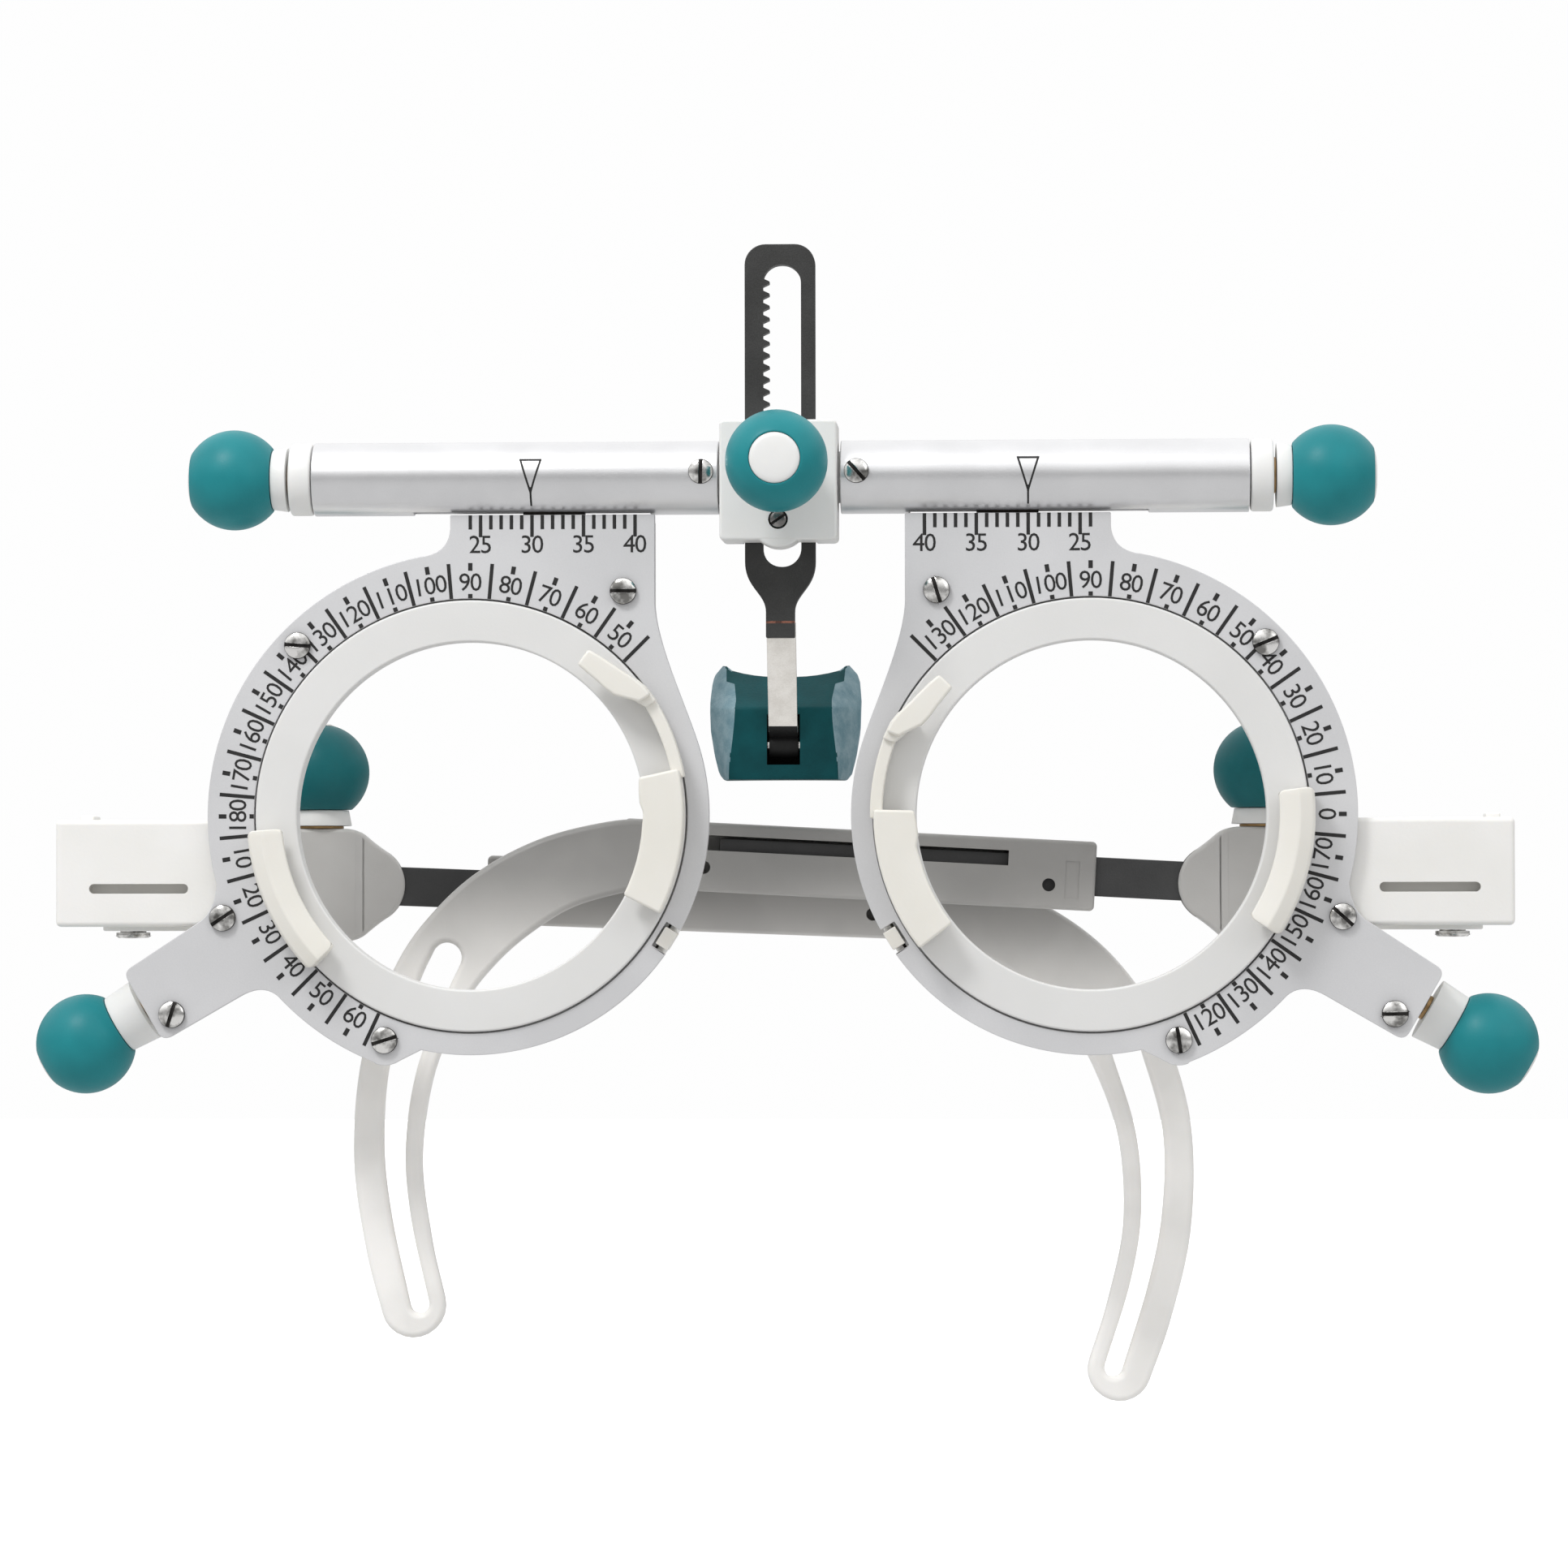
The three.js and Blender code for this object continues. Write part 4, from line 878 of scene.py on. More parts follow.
@dataclass(frozen=True)
class SlottedScrew:
    """A screw with a domed, slotted head that stands on a face; its axis is Y and its head looks to -Y."""

    head: float = 1.29
    height: float = 0.62
    shank: float = 0.5
    length: float = 3.8
    slot_half: float = 0.17
    slot_depth: float = 0.3
    stand: float = 0.15
    rim: float = 0.22
    dome: tuple[float, ...] = (0.25, 0.45, 0.62, 0.76, 0.88, 0.96)

    def shape(self, slot_angle: float) -> Piece:
        """Models the screw.

        Args:
            slot_angle: The slot's angle from X towards Z, in degrees.

        Returns:
            The screw.
        """
        top = -self.stand - self.height
        profile = [(0, top)]
        for share in self.dome:
            drop = self.height * 0.62 * (1 - math.sqrt(1 - share**2 * 0.98))
            profile.append((self.head * share, top + drop))
        profile += [(self.head, -self.stand - self.rim), (self.head, -self.stand), (self.shank, -self.stand)]
        screw = turned([*profile, (self.shank, self.length), (0, self.length)], Axis.Y, steps=40)
        reach = 2 * self.head
        slot = brick((-reach, top - 1, -self.slot_half), (reach, top + self.slot_depth, self.slot_half))
        return soften(cut(screw, seat(slot, turn(-slot_angle, Axis.Y))), 0.035, 2, 40)

    def fit(self, name: str, node: str, finish: Finish, body: str, matrix: Matrix, slot_angle: float) -> None:
        """Models and dresses the screw, with painted shade in its slot and a painted dark reflection on the
        steep edge of its head.

        Args:
            name: The piece's name.
            node: The CAD node that it stands for.
            finish: Its surface.
            body: The body that it rides on.
            matrix: From the middle of the face under its head to the frame.
            slot_angle: The slot's angle from X towards Z, in degrees.
        """
        way = polar(1, slot_angle)

        def dark(middle: Vector, normal: Vector) -> bool:
            """Tells whether a face lies in the slot or on the edge.

            Args:
                middle: The face's middle.
                normal: Its normal.

            Returns:
                Whether it does.
            """
            across = middle.z * way[0] - middle.x * way[1]
            low = middle.y > -self.stand - self.height + 0.03
            return (abs(across) < self.slot_half + 0.01 and low) or normal.y > -0.8

        # Slot faces get painted shade, and steep edge faces a painted dark reflection.
        dress(self.shape(slot_angle), name, finish, body, matrix, node, [(STEEL_PAINTED_SHADE, dark)])


@dataclass(frozen=True)
class BallKnob:
    """A rubber ball on a moulded core; its axis is X, and the ball's centre is at a distance along it."""

    centre: float
    neck_start: float
    washer_start: float
    radius: float = 4.87
    inner: float = 3.75
    outer: float = 4.12
    bore: float = 2.45
    core: float = 2.42
    neck: float = 3.12
    taper: float = 0.22
    dome: float = 0.3
    washer: float = 1.75
    rounds: int = 26

    def grip(self) -> Piece:
        """Models the rubber ball with its two flats.

        Returns:
            The ball.
        """
        first = math.asin(-self.inner / self.radius)
        last = math.asin(self.outer / self.radius)
        profile = [(self.bore, self.centre - self.inner)]
        for k in range(self.rounds + 1):
            angle = first + (last - first) * k / self.rounds
            profile.append((self.radius * math.cos(angle), self.centre + self.radius * math.sin(angle)))
        profile.append((self.bore, self.centre + self.outer))
        return soften(turned(profile, Axis.X, steps=72), 0.09, 3, 30)

    def body(self, *shaft: Point) -> Piece:
        """Models the white core from its neck to its domed end.

        Args:
            shaft: The profile's points below the neck, from the axis outwards.

        Returns:
            The core.
        """
        face = self.centre - self.inner - 0.06
        end = self.centre + self.outer
        profile = [*shaft, (self.neck, self.neck_start), (self.neck - self.taper, face)]
        profile += [(self.core, face), (self.core, end - 0.05)]
        for share in (0.93, 0.8, 0.6, 0.3):
            profile.append((self.core * share, end + self.dome * math.sqrt(1 - share**2)))
        return soften(turned([*profile, (0, end + self.dome)], Axis.X, steps=64), 0.08, 2, 40)

    def brass(self) -> Piece:
        """Models the thin brass washer under the neck."""
        return soften(rod(self.washer, self.washer_start + 0.02, self.neck_start - 0.02, Axis.X), 0.04, 1)

    def parts(self, start: str, core: Piece, kind: str, inside: str, rubber: Finish) -> list[Part]:
        """Gives the knob's parts for both sides.

        Args:
            start: How their names and their nodes' names start.
            core: The core's shape.
            kind: What the core's name calls it.
            inside: What its node's name calls it.
            rubber: The ball's finish.

        Returns:
            The ball, the core and the washer.
        """
        return [
            Part(self.grip(), start + "_ball_{}", rubber, start + "_knob_grip_{}"),
            Part(core, f"{start}_{kind}_{{}}", WHITE_PLASTIC, f"{start}_knob_{inside}_{{}}"),
            Part(self.brass(), start + "_washer_{}", BRASS),
        ]


@dataclass(frozen=True)
class Pinion:
    """A small pinion with a tooth pointing along -U; slack is taken off a tooth's width."""

    teeth: int
    module: float
    pressure: float
    addendum: float
    dedendum: float
    slack: float

    def pitch(self) -> float:
        """Gives the pitch radius."""
        return self.module * self.teeth / 2

    def outline(self) -> list[Point]:
        """Draws the pinion.

        Returns:
            The outline.
        """
        pitch, full = self.pitch(), math.radians(self.pressure)
        base, thick = pitch * math.cos(full), (math.pi * self.module / 2 - self.slack) / (2 * pitch)
        radii = (pitch - self.dedendum, pitch, pitch + self.addendum)

        def half_angle(radius: float) -> float:
            """Gives half the angle that a tooth takes at a radius."""
            flank = math.acos(min(1.0, base / radius))
            return thick + math.tan(full) - full - math.tan(flank) + flank

        points = []
        for tooth in range(self.teeth):
            middle = math.pi + 2 * math.pi * tooth / self.teeth
            points += [polar(radius, math.degrees(middle - half_angle(radius))) for radius in radii]
            points += [polar(radius, math.degrees(middle + half_angle(radius))) for radius in reversed(radii)]
        return points


@dataclass
class CrossTube:
    """The bright tube with its index marks, end collars and screws."""

    outer: float = 3.55
    inner: float = 2.75
    start: float = 5.9
    end: float = 45.3
    slot: Point = (12.6, 35.6)
    slot_half: float = 1.2
    collar_start: float = 42.8
    collar_end: float = 47.6
    mark_x: float = 24.0
    mark_top: float = 34.35
    mark_apex: float = 31.2
    mark_foot: float = 30.05
    mark_half: float = 0.98
    mark_line: float = 0.19

    def tube(self) -> Piece:
        """Models one half of the tube, slotted underneath.

        Returns:
            The tube.
        """
        wall = [(self.inner, self.start), (self.outer, self.start)]
        wall += [(self.outer, self.end), (self.inner, self.end)]
        tube = turned(wall, Axis.X, (0, TUBE_Y, TUBE_Z), 128)
        low = (self.slot[0], TUBE_Y - self.slot_half, TUBE_Z - 5)
        slot = brick(low, (self.slot[1], TUBE_Y + self.slot_half, TUBE_Z - 1))
        hole = rod(0.75, -5, 0, Axis.Y, (TUBE_SCREW_X, TUBE_Y, TUBE_SCREW_Z), 24)
        return soften(cut(tube, slot, hole), 0.12, 3, 40)

    def collar(self) -> Piece:
        """Models the white bush in the tube's end.

        Returns:
            The bush.
        """
        bore, plug, rim, face = 1.3, 2.55, 3.5, self.end + 0.12
        profile = [(bore, self.collar_start), (plug, self.collar_start), (plug, face), (rim, face)]
        profile += [(rim, self.collar_end), (bore, self.collar_end)]
        return soften(turned(profile, Axis.X, (0, TUBE_Y, TUBE_Z), 96), 0.3, 4, 40)

    def index_mark(self) -> Piece:
        """Models the printed triangle with its line, laid on the tube.

        Returns:
            The mark.
        """
        x, half, top, apex = self.mark_x, self.mark_half, self.mark_top, self.mark_apex
        runs = [((x - half, top), (x + half, top)), ((x - half, top), (x, apex))]
        runs += [((x + half, top), (x, apex)), ((x, apex + 0.4), (x, self.mark_foot))]
        strokes = []
        for (x0, z0), (x1, z1) in runs:
            bpy.ops.mesh.primitive_grid_add(x_subdivisions=12, y_subdivisions=2, size=MM)
            stroke = bpy.context.object
            way = Vector((x1 - x0, z1 - z0))
            side = Vector((-way[1], way[0])).normalized() * self.mark_line
            reach = self.mark_line / 2 / way.length
            for vertex in stroke.data.vertices:
                share = (vertex.co.x / MM + 0.5) * (1 + 2 * reach) - reach
                across = vertex.co.y / MM
                u = x0 + way[0] * share + side[0] * across
                v = z0 + way[1] * share + side[1] * across
                depth = math.sqrt((self.outer + 0.012) ** 2 - (v - TUBE_Z) ** 2)
                vertex.co = Vector((u, TUBE_Y - depth, v)) * MM
            strokes.append(modify(stroke, "SOLIDIFY", thickness=0.02 * MM, offset=0))
        return gather(strokes)

    def build(self, sides: Sequence[Side]) -> None:
        """Models and dresses the tube's pieces.

        Args:
            sides: The frame's sides.
        """
        parts = [
            Part(self.tube(), "tube_{}_smooth", TUBE_METAL, "tube_{}"),
            Part(self.collar(), "collar_{}_smooth", WHITE_PLASTIC, "tube_collar_{}"),
            Part(self.index_mark(), "index_mark_{}", INK),
        ]
        spread(sides, "bridge", Side.frame, parts)
        screw = SlottedScrew(head=1.2, length=3.0)
        for side in sides:
            node = f"tube_screw_{side.name}"
            where = side.frame() @ shift(TUBE_SCREW_X, TUBE_Y - self.outer, TUBE_SCREW_Z)
            screw.fit(f"{node}_smooth", node, STEEL_PAINTED_REFLECTION, "bridge", where, side.tube_slot * side.mirror)


@dataclass
class CentreBlock:
    """The white centre block with its lobe, back cover and small screw."""

    half: float = 5.65
    cover_half: float = 4.8
    bottom: float = 26.4
    top: float = 38.0
    front: float = -3.2
    back: float = 3.2
    lobe: float = 2.7
    lobe_z: float = 28.4
    spigot: float = 2.5
    spigot_end: float = 9.9
    channel: float = 3.57
    channel_front: float = 0.9
    shaft: Triple = (0.2, 0, 33.42)
    screw_turn: float = 35

    def block(self) -> Piece:
        """Models the block with its side spigots, channel and bores.

        Returns:
            The block.
        """
        outline = rounded_box(-self.half, self.half, self.bottom, self.top, 0.45)
        block = soften(slab(outline, self.front, self.back), 0.28, 3, 60)
        lobe = rod(self.lobe, self.front + 0.05, self.back - 0.1, Axis.Y, (0, 0, self.lobe_z), 64)
        soften(lobe, 0.25, 3)
        ends = ((self.half - 0.5, self.spigot_end), (-self.spigot_end, 0.5 - self.half))
        join(block, lobe, *(rod(self.spigot, *run, Axis.X, (0, TUBE_Y, TUBE_Z)) for run in ends))
        low = (-self.channel, self.channel_front, self.bottom - 4)
        groove = brick(low, (self.channel, self.back + 1, self.top + 4))
        bore = rod(1.25, self.front - 1, self.back + 1, Axis.Y, self.shaft, 32)
        sink = rod(0.95, self.front - 1, 0.5, Axis.Y, (0, 0, self.lobe_z), 32)
        spots = [(x, TUBE_Y, TUBE_SCREW_Z) for x in (-TUBE_SCREW_X, TUBE_SCREW_X)]
        holes = [rod(0.75, -6, 1, Axis.Y, spot, 24) for spot in spots]
        return cut(block, groove, bore, sink, *holes)

    def cover(self) -> Piece:
        """Models the plate that closes the channel at the back.

        Returns:
            The plate.
        """
        outline = rounded_box(-self.cover_half, self.cover_half, self.bottom + 0.3, self.top - 0.3, 0.6)
        cover = soften(slab(outline, self.back + 0.2, self.back + 1.8), 0.3, 3)
        return cut(cover, rod(0.7, 0, self.back + 1.2, Axis.Y, self.shaft, 24))

    def build(self) -> None:
        """Models and dresses the block, its cover and its screw."""
        dress(self.block(), "centre_block", WHITE_PLASTIC, "bridge", MIDDLE, "bridge_block")
        dress(self.cover(), "centre_cover", WHITE_PLASTIC, "bridge", MIDDLE, "bridge_back_cover")
        screw = SlottedScrew(head=0.8, height=0.34, shank=0.45, length=2.9, slot_half=0.12, slot_depth=0.2)
        where = MIDDLE @ shift(0, self.front + 0.35, self.lobe_z)
        screw.fit("centre_screw", "bridge_screw", GREY_STEEL, "bridge", where, self.screw_turn)


@dataclass
class NoseRest:
    """The toothed bar, its knob and pinion, the bent strip and the pad."""

    half: float = 3.42
    top: float = 55.4
    shoulder: float = 23.4
    strip_half: float = 1.4
    strip_top: float = 20.3
    strip_end: float = 17.2
    front: float = 1.1
    back: float = 2.5
    slot_top: float = 53.4
    slot_bottom: float = 24.06
    slot_right: float = 2.05
    slot_corner: float = 1.8
    first_tip: float = 51.68
    teeth: int = 22
    gear: Pinion = Pinion(8, 0.375, 25.0, 0.28, 0.36, 0.12)
    gear_x: float = 0.2
    gear_z: float = 33.42
    eye: Triple = (0, 9.0, 7.0)
    eye_bore: float = 0.72
    strip_width: float = 1.42
    pad_half: float = 7.45
    pad_front: float = 7.2
    pad_back: float = 14.2
    pad_bottom: float = 3.6
    pad_crease: float = 10.6
    pad_tip: float = 15.25
    saddle: float = 2.5
    cheek_drop: float = 3.9
    pad_dip: float = 13.9
    pad_cuts: int = 15
    cheek_share: float = 0.625
    horn: float = 0.8
    pad_width: tuple[Point, ...] = (
        (3.6, 6.0),
        (4.2, 6.5),
        (6.0, 6.95),
        (8.5, 7.35),
        (11.5, 7.45),
        (13.4, 7.3),
        (14.6, 6.9),
        (15.4, 6.4),
    )
    cheek_edge: tuple[Point, ...] = (
        (3.6, 5.35),
        (6.0, 5.2),
        (9.0, 4.85),
        (11.5, 4.7),
        (13.0, 4.95),
        (15.4, 5.6),
    )
    wear: Point = (18.6, 18.82)

    def bar(self) -> Piece:
        """Models the black bar with its toothed slot.

        Returns:
            The bar.
        """
        neck, low, high = self.strip_top - 0.6, self.strip_top + 1.2, self.shoulder - 1.4
        line = Outline(1.5).to(-self.strip_half, self.strip_end).to(self.strip_half, self.strip_end)
        line.to(self.strip_half, neck)
        line.curve((self.strip_half, low), (self.half, high), (self.half, self.shoulder + 1.2), count=18)
        line.arc(self.half - 2, self.top - 2, 2, 0, 90).arc(2 - self.half, self.top - 2, 2, 90, 180)
        line.to(-self.half, self.shoulder + 1.2)
        line.curve((-self.half, high), (-self.strip_half, low), (-self.strip_half, neck), count=18)
        bar = soften(slab(line.closed(), self.front, self.back), 0.12, 2, 60)
        gear, r = self.gear, self.slot_corner
        pitch_line = self.gear_x - gear.pitch()
        root, tip = pitch_line - gear.dedendum, pitch_line + gear.addendum
        slot = Outline(1.5)
        slot.arc(self.slot_right - r, self.slot_bottom + r, r, -90, 0)
        slot.arc(self.slot_right - r, self.slot_top - r, r, 0, 90)
        slot.arc(root + r, self.slot_top - r, r, 90, 180).arc(root + r, self.slot_bottom + r, r, 180, 270)
        cut(bar, slab(slot.closed(), 0, 4))
        pitch, slope = math.pi * gear.module, math.tan(math.radians(gear.pressure))
        wide = pitch / 4 - gear.slack / 2 + slope * gear.dedendum
        narrow = max(0.03, pitch / 4 - gear.slack / 2 - slope * gear.addendum)
        flank = [(root - 0.5, wide), (root, wide), (tip, narrow)]
        tooth = slab([*flank, *((u, -v) for u, v in reversed(flank))], self.front, self.back)
        row = [seat(twin(tooth), shift(0, 0, self.first_tip - k * pitch)) for k in range(self.teeth)]
        bpy.data.objects.remove(tooth)
        join(bar, gather(row))
        split(bar, Axis.Z, self.wear)
        return bar

    def strip(self) -> Piece:
        """Models the bright strip that bends back into the pad, with its eye.

        Returns:
            The strip.
        """
        t, half = 0.3, self.strip_width
        path = [(3.05, 18.8), (3.05, 18.1), (6.5, 9.0), (7.1, 8.4), (8.4, 7.9)]
        front = [(y - t, z if k < 2 else z - t * 0.7) for k, (y, z) in enumerate(path)]
        back = [(y + t, z) if k < 2 else (y + t * 0.8, z + t * 0.8) for k, (y, z) in enumerate(path)]
        strip = soften(slab([*front, *reversed(back)], -half, half, Plane.SIDE), 0.08, 2)
        join(strip, rod(1.25, -half, half, Axis.X, self.eye, 40))
        return cut(strip, rod(self.eye_bore, -4, 4, Axis.X, self.eye, 32))

    def pad(self) -> Piece:
        """Models the soft pad, with its saddle behind, sloping cheeks and the pocket for the strip.

        Returns:
            The pad.
        """
        bpy.ops.object.select_all(action="DESELECT")
        bpy.ops.mesh.primitive_cube_add(size=2)
        pad = bpy.context.object
        with editing(pad):
            bpy.ops.mesh.subdivide(number_cuts=self.pad_cuts)
        for vertex in pad.data.vertices:
            side, depth, rise = abs(vertex.co.x), (vertex.co.y + 1) / 2, (vertex.co.z + 1) / 2
            beyond = max(0.0, side - self.horn) / (1 - self.horn)
            horn = min(1.0, side / self.horn) ** 2.6 - 0.75 * beyond**2
            tip = self.pad_dip + (self.pad_tip - self.pad_dip) * horn
            z = self.pad_bottom + rise * (self.pad_crease + depth * (tip - self.pad_crease) - self.pad_bottom)
            edge, width = along(self.cheek_edge, z), along(self.pad_width, z)
            past = max(0.0, side - self.cheek_share) / (1 - self.cheek_share)
            x = edge * min(1.0, side / self.cheek_share) + (width - edge) * past
            face = self.pad_front + self.cheek_drop * past**1.2
            hollow = self.pad_back - self.saddle * (1 - (x / self.pad_half) ** 2)
            vertex.co = Vector((math.copysign(x, vertex.co.x), face + depth * (hollow - face), z)) * MM
        soften(pad, 0.15, 2, 35)
        pocket = brick((-1.62, self.pad_front - 1, 5.05), (1.62, 11.2, 10.0))
        return cut(pad, pocket, rod(self.eye_bore, -4.2, 4.2, Axis.X, self.eye, 24))

    def on_cheek(self, middle: Vector, normal: Vector) -> bool:
        """Tells whether a face of the pad is on a sloping cheek, which has the lighter grey-blue finish."""
        beside = abs(middle.x) > along(self.cheek_edge, middle.z) + 0.02
        return beside and normal.y < 0.3 and abs(normal.x) > 0.2

    def in_pocket(self, middle: Vector, _: Vector) -> bool:
        """Tells whether a face of the pad lines the pocket."""
        return abs(middle.x) < 1.63 and self.pad_front + 0.4 < middle.y < 11.3 and 5.0 < middle.z < 10.05

    def pinion(self) -> Piece:
        """Models the pinion with its shaft.

        Returns:
            The pinion.
        """
        gear = slab(self.gear.outline(), self.front + 0.05, self.back - 0.05)
        return join(gear, rod(0.95, -9, 1.5, Axis.Y, facets=32), rod(0.5, 1.4, 3.9, Axis.Y, facets=24))

    def build(self) -> None:
        """Models and dresses the nose rest and its knob."""
        worn = [(COPPER_WEAR, lambda middle, _: self.wear[0] < middle.z < self.wear[1])]
        dress(self.bar(), "toothed_bar", BLACK_STEEL, "nose_carriage", MIDDLE, "rack_bar", worn)
        # The strip's end inside the pad's pocket and the pocket's own faces get near black painted shade.
        bent = [(POCKET_PAINTED_SHADE, lambda middle, _: middle.z < 8.5)]
        dress(self.strip(), "nose_strip", NICKEL_STRIP, "nose_carriage", MIDDLE, "nose_arm", bent)
        marked = [(CHEEK_RUBBER_GREY_BLUE, self.on_cheek), (POCKET_PAINTED_SHADE, self.in_pocket)]
        dress(self.pad(), "nose_pad_soft", PAD_RUBBER, "nose_rest", MIDDLE, "nose_pad", marked)
        place = MIDDLE @ shift(self.gear_x, 0, self.gear_z)
        dress(self.pinion(), "nose_pinion", STEEL_PAINTED_REFLECTION, "nose_knob", place, "rack_knob_pinion")
        knob = BallKnob(centre=10.4, neck_start=3.5, washer_start=3.2)
        forward = place @ turn(-90, Axis.Z)
        dress(knob.grip(), "nose_knob_ball", TEAL_RUBBER, "nose_knob", forward, "rack_knob_grip")
        core = knob.body((0, knob.neck_start))
        dress(core, "nose_knob_core", WHITE_PLASTIC, "nose_knob", forward, "rack_knob_core")


@dataclass
class PupilDrive:
    """The knob that turns the long screw in the tube."""

    knob: BallKnob = BallKnob(centre=53.2, neck_start=47.9, washer_start=47.6)

    def build(self, sides: Sequence[Side]) -> None:
        """Models and dresses the knobs.

        Args:
            sides: The frame's sides.
        """
        parts = self.knob.parts("pd", self.knob.body((0, self.knob.neck_start)), "core", "core", TEAL_RUBBER)
        spread(sides, "pd_knob_{}", lambda side: side.frame() @ shift(0, TUBE_Y, TUBE_Z), parts)


@dataclass
class Carriage:
    """The scale plate, the housing behind it with the hinge box, the screws and the printed scales."""

    thick: float = 1.0
    scale_radius: float = 25.6
    nasal_radius: float = 23.15
    hole: float = 21.05
    tab_out: float = 1.96
    tab_nasal: float = -17.9
    tab_top: float = 29.15
    arm_angle: float = -30.0
    arm_end: float = 36.85
    arm_half: float = 3.9
    arm_root: float = 4.45
    arm_back: float = 8.7
    back: float = 5.4
    front: float = 1.3
    pocket: float = 22.15
    floor: float = 4.1
    opening: float = 20.25
    latch_angle: float = 212.0
    box: Point = (53.2, 70.7)
    box_low: float = -10.7
    box_high: float = -0.3
    box_slot: Point = (57.7, 67.4)
    box_slot_z: float = -7.0
    ink_proud: float = 0.02
    letter: float = 2.45
    spacing: float = 0.9
    mark_inner: float = 21.08
    mark_outer: float = 24.5
    first_distance: int = 24
    last_distance: int = 40
    screws: tuple[tuple[str, float, float], ...] = (
        ("upper_nasal", -14.85, 21.7),
        ("upper_outer", 16.8, 16.55),
        ("side", 24.1, -9.85),
        ("lower", 8.35, -21.7),
        ("arm", 29.05, -19.2),
    )

    def outline(self, inset: float) -> list[Point]:
        """Draws the plate about its lens centre, the outboard side at +X.

        Args:
            inset: How far the outline stays inside the plate's.

        Returns:
            The outline.
        """
        outer, inner = self.scale_radius - inset, self.nasal_radius - inset
        half, end, root = self.arm_half - inset, self.arm_end - inset, self.arm_root - inset
        out, nasal, top = self.tab_out - inset, self.tab_nasal + inset, self.tab_top - inset
        way = polar(1, self.arm_angle)

        def arm(distance: float, offset: float) -> Point:
            """Gives the point at a distance along the arm and an offset across it."""
            return distance * way[0] - offset * way[1], distance * way[1] + offset * way[0]

        line = Outline(2.0).to(out, top).to(nasal, top).to(nasal, 20.4)
        meets = polar(inner, 165)
        line.curve((nasal - 0.3, 16.0), (meets[0] + 1.05, meets[1] + 3.9), meets)
        line.arc(0, 0, inner, 165, 282).arc(8.35, -21.7, 2.45 - inset, 235, 290)
        line.arc(0, 0, outer, 291.5, 317).curve(arm(25.6, -half), arm(28.2, -half))
        line.to(*arm(end - 1, -half)).curve(arm(end, -half), arm(end, 1 - half), count=6)
        line.to(*arm(end, half - 1)).curve(arm(end, half), arm(end - 1, half), count=6)
        line.to(*arm(28.0, root - 0.1)).curve(arm(26.2, root), polar(outer, -15))
        return line.arc(0, 0, outer, -15, 79).curve((out + 0.2, 25.4), (out, 27.8)).closed()

    def latch(self, run: Point, half: float, depth: Point) -> Piece:
        """Makes a block square to the radius at the snap latch."""
        block = brick((run[0], depth[0], -half), (run[1], depth[1], half))
        return seat(block, turn(-self.latch_angle, Axis.Y))

    def plate(self) -> Piece:
        """Models the scale plate.

        Returns:
            The plate.
        """
        plate = slab(self.outline(0), 0, self.thick)
        hole = rod(self.hole, -1, self.thick + 1, Axis.Y, facets=180)
        return soften(cut(plate, hole, self.latch((21.55, 26), 1.35, (-1, self.thick + 1))), 0.1, 2, 50)

    def housing(self) -> Piece:
        """Models the cream housing behind the plate, with its arm.

        Returns:
            The housing.
        """
        body = soften(slab(self.outline(0.25), self.front, self.back), 0.35, 3, 60)
        tilted = turn(-self.arm_angle, Axis.Y)
        arm = soften(brick((20.6, 2.6, -3.4), (self.arm_end - 0.5, self.arm_back, 3.4)), 0.8, 4)
        join(body, seat(arm, tilted))
        pocket = rod(self.pocket, 0, self.floor, Axis.Y, facets=144)
        opening = rod(self.opening, 0, self.arm_back + 1, Axis.Y, facets=144)
        wide = rod(2.8, 19, 22.45, Axis.X, (0, AXIS_SHAFT_Y, 0), 32)
        bore = rod(1.2, 19, 40, Axis.X, (0, AXIS_SHAFT_Y, 0), 24)
        neck = brick((-11.3, 1, 24.6), (-4.7, 2.8, 30))
        return cut(body, pocket, opening, seat(wide, tilted), seat(bore, tilted), neck)

    def hinge_box(self) -> Piece:
        """Models the box that holds the temple's hinge, with its slot, boss and nib.

        Returns:
            The box.
        """
        fold = FOLD_X - LENS_X
        x0, x1 = (end - LENS_X for end in self.box)
        low, high = self.box_low, self.box_high
        plan = Outline(1.5).to(x0 + 1, self.front).to(x1, self.front).arc(fold, FOLD_Y, 4.7, 0, 155)
        plan.to(x0 + 3.5, 10.5).to(x0 + 3.5, 4.7).to(x0 + 1, 4.7)
        box = soften(slab(plan.closed(), low, high, Plane.TOP), 0.5, 4, 25)
        tongue = rounded_box(fold - 8.5, fold + 3, FOLD_Y - 3, FOLD_Y + 3, 2.9)
        boss = soften(slab(tongue, low - 0.5, low + 0.4, Plane.TOP), 0.15, 2)
        join(box, boss, soften(brick((x1 - 1.9, 12, high - 0.4), (x1 - 0.5, 16, high + 0.6)), 0.2, 3))
        cavity = brick((x0 + 1.4, 3.0, low + 1.4), (x1 - 1.2, 40, high - 1.4))
        ends = (end - LENS_X for end in self.box_slot)
        slot = slab(rounded_box(*ends, self.box_slot_z - 0.47, self.box_slot_z + 0.47, 0.46, 10), 0, 2.5)
        return cut(box, cavity, slot, rod(1.6, -30, 30, Axis.Z, (fold, FOLD_Y, 0), 40))

    # Faces found here get the painted shade of the slot's recess.
    def in_slot(self, middle: Vector, _: Vector) -> bool:
        """Tells whether a face of the hinge box lines its narrow slot."""
        inside = self.box_slot[0] - 0.1 < middle.x + LENS_X < self.box_slot[1] + 0.1
        return inside and abs(middle.z - self.box_slot_z) < 0.5 and self.front + 0.05 < middle.y < 2.6

    def strokes(self, side: Side) -> Piece:
        """Models the printed lines of both scales on one plate.

        Args:
            side: The plate's side.

        Returns:
            The lines.
        """
        marks = []

